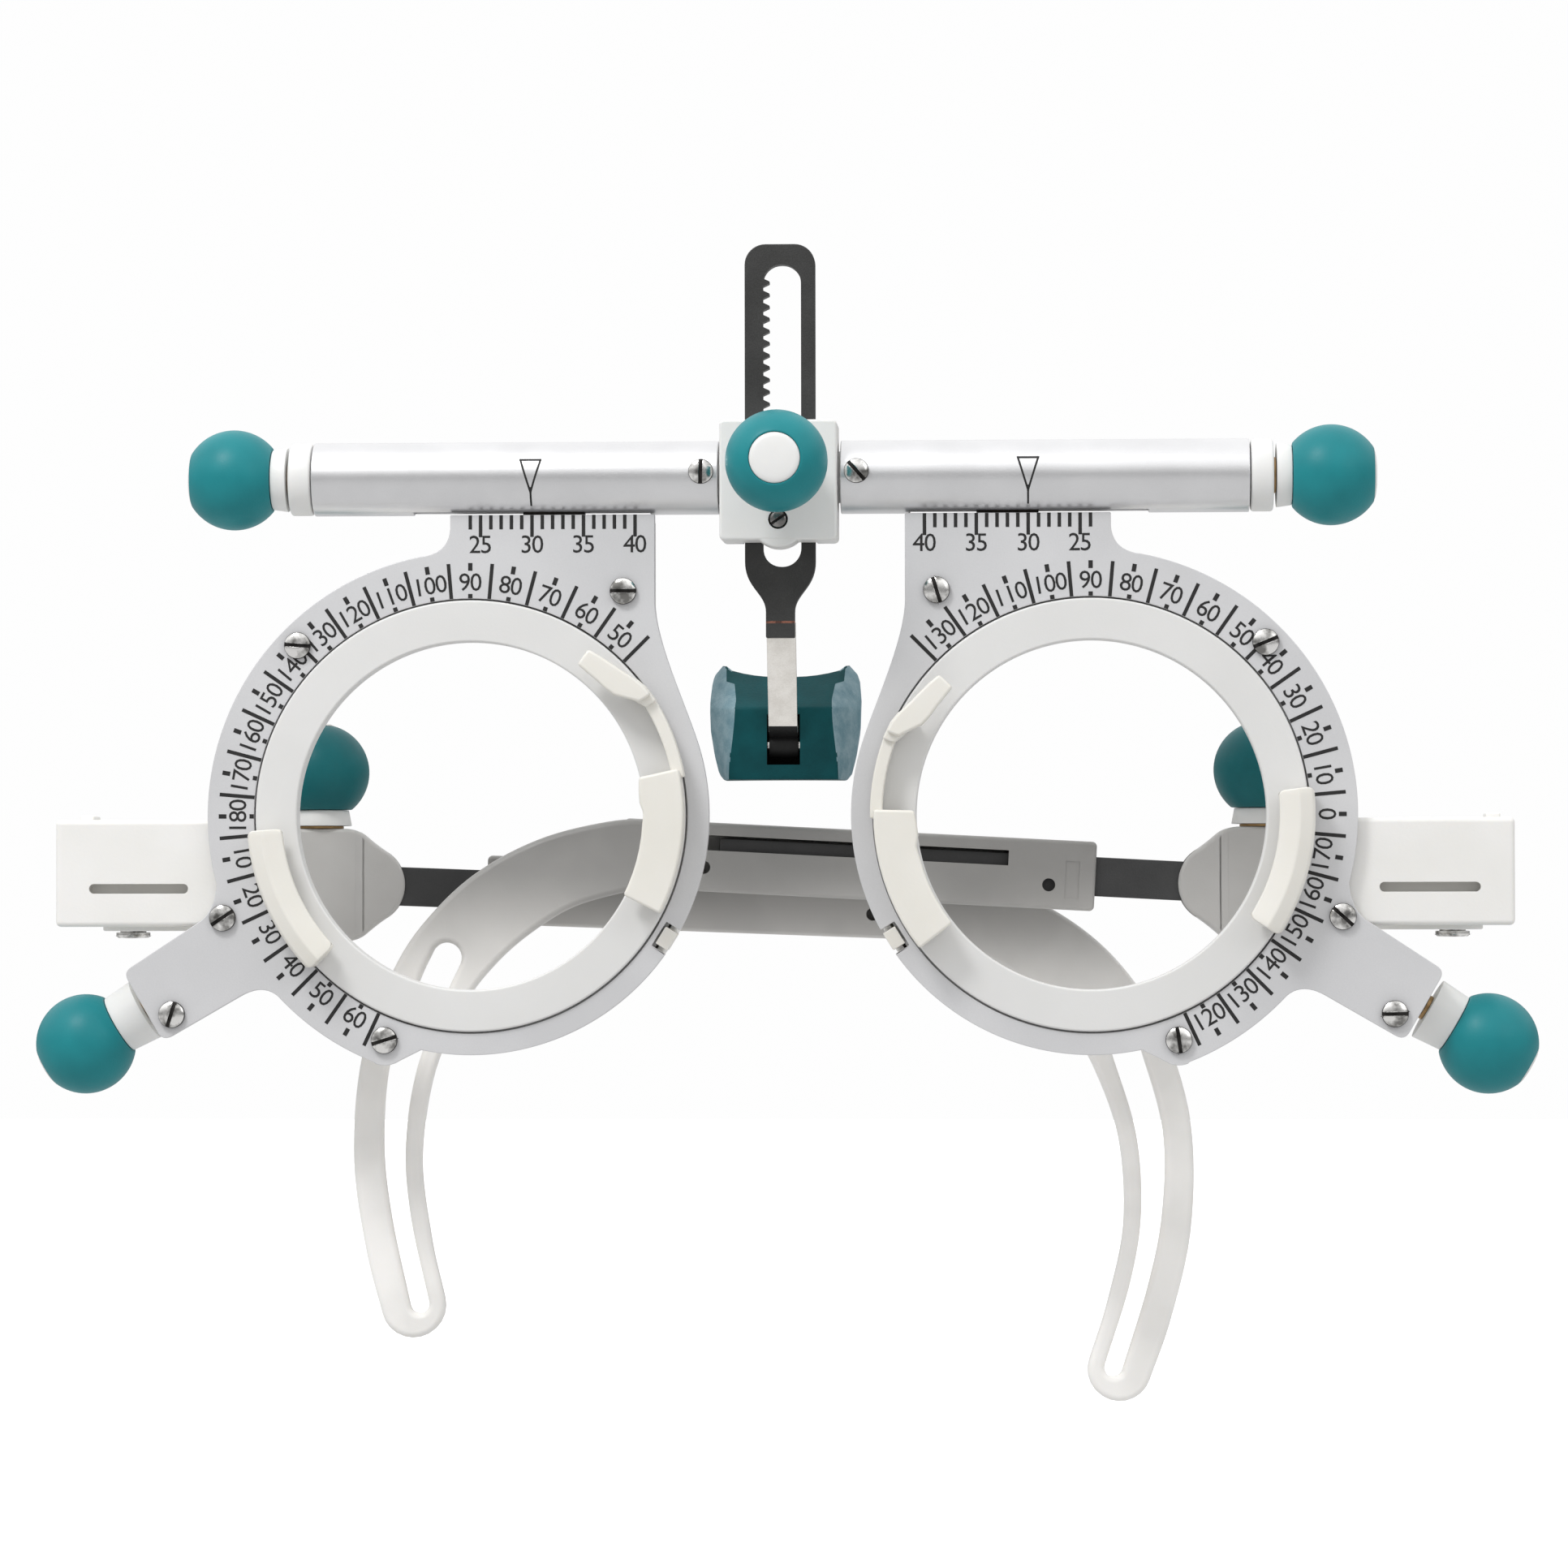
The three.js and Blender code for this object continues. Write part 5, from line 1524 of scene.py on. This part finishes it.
        def stroke(start: Point, end: Point, width: float) -> None:
            """Adds a printed line.

            Args:
                start: Where it starts.
                end: Where it ends.
                width: Its width.
            """
            (u0, v0), (u1, v1) = start, end
            way = Vector((u1 - u0, v1 - v0)).normalized()
            su, sv = -way[1] * width / 2, way[0] * width / 2
            corners = [(u0 + su, v0 + sv), (u0 - su, v0 - sv), (u1 - su, v1 - sv), (u1 + su, v1 + sv)]
            marks.append(slab(corners, -self.ink_proud, 0.02))

        for value in range(self.first_distance, self.last_distance + 1):
            u = side.mirror * (self.first_distance - value)
            length = 2.15 if value % 5 == 0 else 1.4
            stroke((u, self.tab_top - 0.03), (u, self.tab_top - length), 0.34)
        first, last = side.scale
        for angle in range(first, last + 1, 10):
            stroke(polar(self.mark_outer, angle), polar(23.75, angle), 0.42)
            stroke(polar(21.5, angle), polar(self.mark_inner, angle), 0.42)
        for angle in range(first - 5, last + 6, 10):
            stroke(polar(self.mark_outer, angle), polar(self.mark_inner, angle), 0.35)
        return gather(marks)

    def numbers(self, side: Side) -> Piece:
        """Models the printed numbers of both scales on one plate.

        Args:
            side: The plate's side.

        Returns:
            The numbers.
        """
        made = []
        for value in range(25, self.last_distance + 1, 5):
            made.append(self.number(value, (side.mirror * (self.first_distance - value), 26.2), 0))
        first, last = side.scale
        for angle in range(first, last + 1, 10):
            value = angle % 180 or (180 if side.mirror < 0 else 0)
            upside = -90 if 0 <= angle <= 180 else 90
            made.append(self.number(value, polar(22.55, angle), angle + upside))
        return gather(made)

    def number(self, value: int, place: Point, angle: float) -> Piece:
        """Makes one printed number.

        Args:
            value: The number.
            place: Its centre.
            angle: How far it is turned in the plate's plane, in degrees.

        Returns:
            The number.
        """
        bpy.ops.object.select_all(action="DESELECT")
        bpy.ops.object.text_add()
        letter = bpy.context.object
        letter.data.body = str(value)
        letter.data.size = self.letter * MM
        letter.data.align_x = letter.data.align_y = "CENTER"
        letter.data.space_character = self.spacing
        letter.data.extrude = self.ink_proud * MM
        letter.data.resolution_u = 3
        bpy.ops.object.convert(target="MESH")
        return seat(letter, shift(place[0], 0, place[1]) @ turn(-angle, Axis.Y) @ turn(90, Axis.X))

    def build(self, sides: Sequence[Side]) -> None:
        """Models and dresses both carriages.

        Args:
            sides: The frame's sides.
        """
        latch = soften(self.latch((21.75, 23.1), 0.95, (-0.3, 2.3)), 0.1, 2)
        parts = [
            Part(self.plate(), "plate_{}", PLATE_METAL, "front_plate_{}"),
            Part(self.housing(), "housing_{}", BOX_PLASTIC, "cell_housing_{}"),
            Part(self.hinge_box(), "hinge_box_{}", BOX_PLASTIC, accents=[(SLOT_PAINTED_SHADE, self.in_slot)]),
            Part(latch, "latch_{}", CREAM_PLASTIC),
        ]
        spread(sides, "carrier_{}", Side.cell, parts)
        for side in sides:
            body = f"carrier_{side.name}"
            upright = MIDDLE @ shift(side.mirror * LENS_X, 0, 0)
            dress(self.strokes(side), f"scale_lines_{side.name}", INK, body, upright)
            dress(self.numbers(side), f"scale_numbers_{side.name}", INK, body, upright)
            for (name, u, v), angle in zip(self.screws, side.slots):
                node = f"plate_screw_{name}_{side.name}"
                where = side.cell() @ shift(u, 0, v)
                SlottedScrew().fit(f"{node}_smooth", node, STEEL_PAINTED_REFLECTION, body, where, angle * side.mirror)


@dataclass
class LensCell:
    """The turning lens ring, with its crown teeth behind, and its two lens clips."""

    front: float = -0.35
    aperture: float = 16.85
    collar: float = 20.88
    flange: float = 21.9
    flange_front: float = 1.35
    flange_back: float = 2.95
    sleeve: float = 19.95
    sleeve_back: float = 6.2
    seat_bore: float = 18.4
    seat_depth: float = 2.2
    top: float = -3.9
    base: float = -0.6
    wall: float = 19.15
    lips: Point = (-2.0, -1.5)
    teeth: int = 48

    def ring(self) -> Piece:
        """Models the ring.

        Returns:
            The ring.
        """
        profile = [(self.aperture, self.front), (self.collar, self.front), (self.collar, self.flange_front)]
        profile += [(self.flange, self.flange_front), (self.flange, self.flange_back)]
        profile += [(self.sleeve, self.flange_back), (self.sleeve, self.sleeve_back)]
        profile += [(self.seat_bore, self.sleeve_back)]
        profile += [(self.seat_bore, self.seat_depth), (self.aperture, self.seat_depth)]
        return soften(turned(profile, Axis.Y, steps=180), 0.22, 3, 40)

    def crown(self) -> Piece:
        """Models the crown of teeth that the axis pinion turns.

        Returns:
            The teeth.
        """
        tooth = brick((20.25, self.flange_back - 0.05, -0.5), (21.75, 3.82, 0.5))
        for vertex in tooth.data.vertices:
            vertex.co.z *= 0.72 if vertex.co.y > 3.5 * MM else 1.5
        angles = [30 + 360 / self.teeth * (k + 0.5) for k in range(self.teeth)]
        row = [seat(twin(tooth), turn(angle, Axis.Y)) for angle in angles]
        bpy.data.objects.remove(tooth)
        return gather(row)

    def band(self, stations: Sequence[Triple], front: float, back: float, edge: float) -> Piece:
        """Pulls a band of varying width round the ring.

        Args:
            stations: Points of angle, inner and outer radius.
            front: Where the band starts along Y.
            back: Where it ends.
            edge: How round its edges are.

        Returns:
            The band.
        """
        inner = [polar(near, angle) for angle, near, _ in stations]
        outer = [polar(far, angle) for angle, _, far in stations]
        return soften(slab([*outer, *reversed(inner)], front, back), edge, 3, 24)

    def groove(self, lip: float) -> Piece:
        """Makes the ring-shaped space that a clip leaves for the lens rims, with a rib between them.

        Args:
            lip: The rib's radius, less its round edge.

        Returns:
            The space.
        """
        (first, last), rib, inside = self.lips, lip + 0.25, lip - 3
        profile = [(inside, -3.2), (self.wall, -3.2), (self.wall, first), (rib, first), (rib, last)]
        return turned([*profile, (self.wall, last), (self.wall, -0.5), (inside, -0.5)], Axis.Y, steps=180)

    def outer_clip(self) -> Piece:
        """Models the outboard clip: a ridged wall with two lips for the lens rims.

        Returns:
            The clip.
        """
        first, last = self.lips
        profile = [(17.9, -3.2), (18.0, -3.4), (19.9, -3.95), (21.15, -3.35), (21.4, -2.8), (21.4, self.base)]
        profile += [(self.wall, self.base), (self.wall, last), (18.1, last), (18.1, first)]
        profile += [(self.wall, first), (self.wall, -3.2)]
        clip = turned(profile, Axis.Y, steps=20, sweep=(-33.2, 7))
        combine(clip, [self.sector((17.8, 21.5), (-33.25, 7.05), 0.9)], "INTERSECT")
        return soften(clip, 0.14, 3, 24)

    def sector(self, radii: Point, ends: Point, size: float) -> Piece:
        """Makes a piece of a disc with round corners, deep enough to hold a whole clip.

        Args:
            radii: Its inner and outer radius.
            ends: Its first and last angle, in degrees.
            size: The corners' radius.

        Returns:
            The piece.
        """
        (near, far), (first, last) = radii, ends
        run = math.degrees(size / far)
        inner, outer = [], []
        for end, way in ((first, 1), (last, -1)):
            for degrees in range(0, 91, 15)[::way]:
                off = size * (1 - math.sin(math.radians(degrees)))
                angle = end + way * run * (1 - math.cos(math.radians(degrees)))
                inner.append(polar(near + off, angle))
                outer.append(polar(far - off, angle))
            if way > 0:
                for k in range(1, 12):
                    angle = first + run + (last - first - 2 * run) * k / 12
                    inner.append(polar(near, angle))
                    outer.append(polar(far, angle))
        return slab([*outer, *reversed(inner)], self.top - 1, self.base + 1)

    def nasal_clip(self) -> Piece:
        """Models the nasal clip: a post, a springy strap and a finger that widens into a knuckle.

        Returns:
            The clip.
        """
        finger = [(137.4, 18.0, 19.8), (141, 17.95, 20.0), (145, 18.0, 20.2), (148.5, 18.05, 20.45)]
        finger += [(152, 18.3, 20.85), (155, 19.05, 21.1), (158, 19.9, 21.2)]
        knuckle = [(151.6, 18.9, 20.9), (155.2, 19.25, 21.2), (160, 20.1, 21.3)]
        strap = [(angle, 20.05, 21.25) for angle in range(157, 182, 3)]
        post = [(178.7, 17.0, 20.9), (183, 16.75, 20.9), (187, 16.7, 20.9), (190.5, 17.05, 20.9)]
        post += [(angle, 16.95, 20.9) for angle in range(194, 219, 4)]
        clip = cut(self.band(post, self.top, self.base, 0.28), self.groove(17.05))
        bands = [self.band(strap, -2.75, -0.68, 0.2), self.band(knuckle, -3.3, -0.64, 0.22)]
        return join(clip, *bands, self.band(finger, self.top, -2.5, 0.28))

    def build(self, sides: Sequence[Side]) -> None:
        """Models and dresses both lens cells.

        Args:
            sides: The frame's sides.
        """
        cell = [
            Part(self.ring(), "ring_{}", RING_PLASTIC, "lens_ring_{}"),
            Part(self.crown(), "crown_teeth_{}", RING_PLASTIC),
        ]
        clips = [
            Part(self.outer_clip(), "outer_clip_{}", CREAM_PLASTIC, "outer_lens_clip_{}"),
            Part(self.nasal_clip(), "nasal_clip_{}", CREAM_PLASTIC, "nasal_lens_clip_{}"),
        ]
        spread(sides, "lens_cell_{}", Side.cell, cell)
        spread(sides, "lens_cell_{}", Side.clips, clips)


@dataclass
class AxisDrive:
    """The knob on the lower arm whose pinion turns the lens ring."""

    gear: Pinion = Pinion(5, 0.875, 30.0, 0.42, 0.5, 0.16)
    knob: BallKnob = BallKnob(44.35, 37.6, 37.2, outer=4.4, bore=2.0, core=1.97, washer=1.25)
    shaft: float = 0.9
    shaft_start: float = 20.75
    angle: float = 30

    def build(self, sides: Sequence[Side]) -> None:
        """Models and dresses both axis drives, with the pinion, its shaft and the knob's core in one.

        Args:
            sides: The frame's sides.
        """
        gear = slab(self.gear.outline(), 20.25, 22.15, Plane.SIDE)
        shaft = [(0, self.shaft_start), (self.shaft, self.shaft_start), (self.shaft, self.knob.neck_start)]
        stem = join(self.knob.body(*shaft), gear)
        parts = self.knob.parts("axis", stem, "stem", "pinion", TEAL_RUBBER)
        tilted = shift(0, AXIS_SHAFT_Y, 0) @ turn(self.angle, Axis.Y)
        spread(sides, "axis_knob_{}", lambda side: side.cell() @ tilted, parts)


@dataclass
class Temple:
    """One temple: the block on the fold hinge, its tilt knob, the bar and the sliding rail with the ear hook.

    nose_line is the block's nose, as distances back from its tip and half heights, in three curves.
    """

    half: float = 2.5
    top: float = -0.97
    bottom: float = -12.3
    outer: float = 10.2
    nose: float = 27.3
    crease: float = 22.8
    narrowing: float = 0.3
    nose_line: tuple[Point, ...] = (
        (6.2, 5.65),
        (5.1, 5.7),
        (4.4, 5.35),
        (3.9, 4.9),
        (3.2, 4.3),
        (2.5, 3.75),
        (1.8, 3.3),
        (0.7, 2.6),
        (0, 1.3),
        (0, 0),
    )
    knuckle: Point = (-9.0, -2.0)
    tilt_room: float = 10.5
    worm_x: float = 18.8
    bar_half: float = 1.2
    bar_height: float = 3.9
    bar_length: float = 50.5
    rail: Point = (13.0, 60.0)
    rail_half: float = 2.3
    rail_height: float = 6.9
    hook_front: float = -4.1
    hook_back: float = -1.8
    knob: BallKnob = BallKnob(4.7, -0.67, -0.97, outer=4.7, bore=1.23, core=1.2, taper=0.3, washer=2.3)
    stations: tuple[Triple, ...] = (
        (57.0, 0.0, 6.9),
        (60.5, -0.45, 7.2),
        (66.3, -2.3, 7.5),
        (71.3, -5.4, 8.0),
        (75.2, -9.2, 8.05),
        (78.3, -13.9, 7.9),
        (81.1, -21.8, 7.4),
        (81.7, -31.3, 6.8),
        (80.2, -39.8, 6.6),
        (78.4, -45.9, 6.4),
    )
    opening: tuple[Triple, ...] = (
        (76.9, -11.3, 3.0),
        (78.1, -14.3, 3.0),
        (80.6, -22.0, 2.8),
        (81.1, -30.0, 2.2),
        (80.1, -37.2, 1.9),
        (77.8, -45.7, 1.9),
    )

    def block_outline(self) -> list[Point]:
        """Draws the block from the side.

        Returns:
            The outline.
        """
        near = self.outer + 0.8
        line = Outline(10).to(self.outer, self.bottom + 0.8)
        line.curve((self.outer, self.bottom), (near, self.bottom), count=5).to(self.nose - 6.2, self.bottom)
        for way, run in ((-1, self.nose_line), (1, self.nose_line[::-1])):
            spots = [(self.nose - back, min(self.top, TILT_Z + way * half)) for back, half in run]
            for k in range(1, len(spots), 3):
                line.curve(*spots[k : k + 3])
        line.to(near, self.top).curve((self.outer, self.top), (self.outer, self.top - 0.8), count=5)
        return line.closed()

    def block(self) -> Piece:
        """Models the block, whose nose narrows past a crease, with its knuckle and its slot for the bar.

        Returns:
            The block.
        """
        block = slab(self.block_outline(), -self.half, self.half)
        split(block, Axis.X, [self.crease + step for step in (-0.4, 0.4, 2.4)])
        for vertex in block.data.vertices:
            past = (vertex.co.x / MM - self.crease) / (self.nose - self.crease)
            vertex.co.y *= 1 - self.narrowing * min(1.0, max(0.0, past))
        soften(block, 0.42, 4, 45)
        low, high = self.knuckle
        neck = soften(brick((0, -self.half, low), (self.outer + 0.5, self.half, high)), 0.3, 2)
        join(block, neck, rod(3.2, low, high, Axis.Z, facets=64))
        room, spread_out = self.bar_height / 2 + 0.25, math.tan(math.radians(self.tilt_room))
        mouth = []
        for offset, sign in ((8, 1), (-3.4, 1), (-3.4, -1), (8, -1)):
            mouth.append((TILT_X + offset, TILT_Z + sign * (room + abs(offset) * spread_out)))
        slot = slab(mouth, -self.bar_half - 0.25, self.bar_half + 0.25)
        worm = rod(1.35, -10.6, 5, Axis.Z, (self.worm_x, 0, 0), 32)
        pivot = rod(0.95, -2.0, 2.0, Axis.Y, (TILT_X, 0, TILT_Z), 24)
        return cut(block, slot, worm, pivot, rod(1.6, -20, 5, Axis.Z, facets=32))

    def pin(self) -> Piece:
        """Models the hinge pin with its slotted head below.

        Returns:
            The pin.
        """
        head = [(0, -11.95), (1.5, -11.9), (1.7, -11.75), (1.7, -11.35)]
        pin = turned([*head, (1.3, -11.35), (1.3, -0.45), (0, -0.45)], Axis.Z, steps=48)
        return soften(cut(pin, brick((-3, -0.2, -12.5), (3, 0.2, -11.7))), 0.05, 2, 40)

    def bar(self) -> Piece:
        """Models the dark bar with its pivot.

        Returns:
            The bar.
        """
        half = self.bar_height / 2
        line = Outline(1.5).to(0, -half).to(self.bar_length, -half).to(self.bar_length, half).to(0, half)
        bar = soften(slab(line.arc(0, 0, 2.2, 117, 243).closed(), -self.bar_half, self.bar_half), 0.15, 2)
        return join(bar, rod(0.8, -1.9, 1.9, Axis.Y, facets=32))

    def rail_shape(self) -> Piece:
        """Models the rail with its window, holes and label recess, and the ear hook.

        Returns:
            The rail.
        """
        half = self.rail_height / 2
        start, end = self.rail
        outline = rounded_box(start, end, -half, half, 0.5)
        rail = soften(slab(outline, -self.rail_half, self.rail_half), 0.4, 4, 60)
        step = rounded_box(56, 60.6, 0.6 - half, half - 1.1, 0.6)
        joggle = soften(slab(step, self.hook_front + 0.5, self.rail_half - 0.5), 0.4, 3)
        hook = slab(ribbon(self.stations, 60, False), self.hook_front, self.hook_back)
        cut(hook, slab(ribbon(self.opening, 40, True), self.hook_front - 1, self.hook_back + 1))
        join(rail, joggle, soften(hook, 0.62, 5, 50))
        cavity = brick((start - 1, -1.45, -2.2), (end - 1.5, 1.45, 2.2))
        window = brick((21.7, -5, 0.67), (58.0, 0, 2.18))
        recess = brick((14.6, -3, -2.3), (16.0, -self.rail_half + 0.08, 1.4))
        holes = [rod(0.65, -5, 0, Axis.Y, (x, 0, -1.05), 32) for x in (17.6, 51.9)]
        return cut(rail, cavity, window, recess, *holes)

    def build(self, sides: Sequence[Side]) -> None:
        """Models and dresses both temples, with the worm and the tilt knob's core in one.

        Args:
            sides: The frame's sides.
        """
        block = Part(self.block(), "block_{}", BLOCK_PAINTED_SHADE, "temple_block_{}")
        pin = Part(self.pin(), "hinge_pin_{}", STEEL_PAINTED_REFLECTION, "fold_pin_{}")
        spread(sides, "temple_block_{}", Side.temple, [block, pin])
        core = join(self.knob.body((0, self.knob.neck_start)), rod(1.1, -10.2, -0.6, Axis.X, facets=32))
        upward = shift(self.worm_x, 0, 0) @ turn(-90, Axis.Y)
        knob = self.knob.parts("tilt", core, "core", "worm", SHADED_TEAL)
        spread(sides, "tilt_knob_{}", lambda side: side.temple() @ upward, knob)
        bar = Part(self.bar(), "bar_{}", DARK_BAR, "temple_bar_{}")
        spread(sides, "temple_bar_{}", Side.bar, [bar])
        rail = Part(self.rail_shape(), "rail_{}", RAIL_PAINTED_SHADE, "temple_rail_{}")
        spread(sides, "temple_end_{}", Side.bar, [rail])


@dataclass
class Studio:
    """The camera, the soft lights and the pale floor."""

    eye: Triple = (25.0, -525.0, -8.0)
    aim: Triple = (0.39, 0.0, 3.01)
    lens: float = 125.03
    roll: float = -0.09
    floor_z: float = -103.4
    floor_size: float = 3.2
    paper: Triple = (0.93, 0.93, 0.93)
    floor_glow: float = 0.66
    floor_bounce: float = 0.70
    sky: float = 0.31
    zenith: float = 1.15
    dim_front: float = 0.9
    shown_sky: float = 0.99
    lamps: tuple[tuple[str, Triple, float, float], ...] = (
        ("upper_left", (-180, -260, 340), 110, 0.92),
        ("right_fill", (330, -330, 180), 200, 0.12),
        ("low_fill", (40, -200, -330), 200, 0.14),
    )

    @staticmethod
    def looking(eye: Vector, aim: Vector) -> Matrix:
        """Gives the place of a camera or lamp at one point that looks at another."""
        return Matrix.Translation(eye) @ (aim - eye).to_track_quat("-Z", "Y").to_matrix().to_4x4()

    def camera(self) -> None:
        """Sets the camera where the photographer stood."""
        bpy.ops.object.camera_add()
        camera = bpy.context.object
        eye, aim = (Vector(p) * MM - NOSE_HOLLOW * MM for p in (self.eye, self.aim))
        camera.matrix_world = self.looking(eye, aim) @ turn(self.roll, Axis.Z)
        camera.data.lens = self.lens
        camera.data.clip_start, camera.data.clip_end = 0.02, 20
        bpy.context.scene.camera = camera

    def lamp(self, name: str, place: Triple, size: float, power: float) -> None:
        """Hangs a square soft light that looks at the frame.

        Args:
            name: Its name.
            place: Where it hangs, in millimetres.
            size: Its side, in millimetres.
            power: Its power in watts.
        """
        bpy.ops.object.light_add(type="AREA")
        lamp = bpy.context.object
        lamp.name = name
        lamp.matrix_world = self.looking(Vector(place) * MM, Vector())
        lamp.data.size = size * MM
        lamp.data.energy = power
        lamp.visible_camera = False

    def floor(self) -> None:
        """Lays the pale floor."""
        bpy.ops.mesh.primitive_plane_add(size=self.floor_size, location=(0, 0, self.floor_z * MM))
        floor = bpy.context.object
        floor.name = "pale_floor"
        paper = bpy.data.materials.new("pale_paper")
        paper.use_nodes = True
        tree = paper.node_tree
        shader = tree.nodes["Principled BSDF"]
        glow = {"Emission Color": (1, 1, 1, 1), "Emission Strength": self.floor_glow}
        feed(tree, shader, {"Base Color": (*self.paper, 1), "Roughness": 0.9, **glow})
        bounced = wire(tree, "Emission", {"Strength": self.floor_bounce}).outputs["Emission"]
        shown = seen_apart(tree, shader.outputs["BSDF"], bounced)
        feed(tree, tree.nodes["Material Output"], {"Surface": shown})
        floor.data.materials.append(paper)

    def world(self) -> None:
        """Makes the bright surroundings, which light from above most and from the front least."""
        world = bpy.data.worlds.new("white_surround")
        bpy.context.scene.world = world
        world.use_nodes = True
        tree = world.node_tree
        light = tree.nodes["Background"]
        shown = wire(tree, "Background", {"Strength": self.shown_sky, "Color": (1, 1, 1, 1)})
        way = wire(tree, "TexCoord", {}).outputs["Generated"]
        split = wire(tree, "SeparateXYZ", {"Vector": way})
        upwards = ramped(tree, split.outputs["Z"], (0.05, 0.5), (self.sky, self.zenith))
        backwards = ramped(tree, split.outputs["Y"], (-0.95, -0.55), (self.dim_front, 1.0))
        strength = wire(tree, "Math", {0: upwards, 1: backwards}, operation="MULTIPLY").outputs["Value"]
        feed(tree, light, {"Color": (1, 1, 1, 1), "Strength": strength})
        surface = seen_apart(tree, shown.outputs["Background"], light.outputs["Background"])
        feed(tree, tree.nodes["World Output"], {"Surface": surface})

    def build(self) -> None:
        """Sets up the whole studio."""
        self.camera()
        self.world()
        for lamp in self.lamps:
            self.lamp(*lamp)
        self.floor()
        view = bpy.context.scene.view_settings
        view.view_transform = "Standard"
        view.look = "None"


def repaint_hidden(nodes: dict[str, Piece]) -> None:
    """Gives the CAD nodes that stay, all of them inside, the finish of what they are; the carriage nut gets
    painted shade instead, as it shows only through the slot under the tube.

    Args:
        nodes: The CAD nodes by name.
    """
    finishes = {"pd_screw": BRASS, "carriage_nut": NUT_PAINTED_SHADE, "nose_pad_pin": STEEL_PAINTED_REFLECTION}
    for name, node in nodes.items():
        for start, finish in finishes.items():
            if name.startswith(start):
                node.data.materials.clear()
                node.data.materials.append(finish.material())


def corners(bounds: tuple[Vector, Vector]) -> list[list[float]]:
    """Gives a box's corners as plain lists."""
    return [[float(x) for x in corner] for corner in bounds]


def main() -> None:
    """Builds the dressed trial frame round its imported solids."""
    logging.basicConfig(level=logging.INFO, format="%(message)s")
    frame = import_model()
    sides = (
        Side("right", 1, -1.0, 3.0, 0.0, (-60, 130), (107, 22, -42, -82, 1), -48.0),
        Side("left", -1, 5.5, -2.2, -11.0, (50, 240), (0, -4, 33, 17, 72), 88.0),
    )
    Studio().build()
    CrossTube().build(sides)
    CentreBlock().build()
    NoseRest().build()
    PupilDrive().build(sides)
    Carriage().build(sides)
    LensCell().build(sides)
    AxisDrive().build(sides)
    Temple().build(sides)
    repaint_hidden(frame["nodes"])


if __name__ == "__main__":
    main()
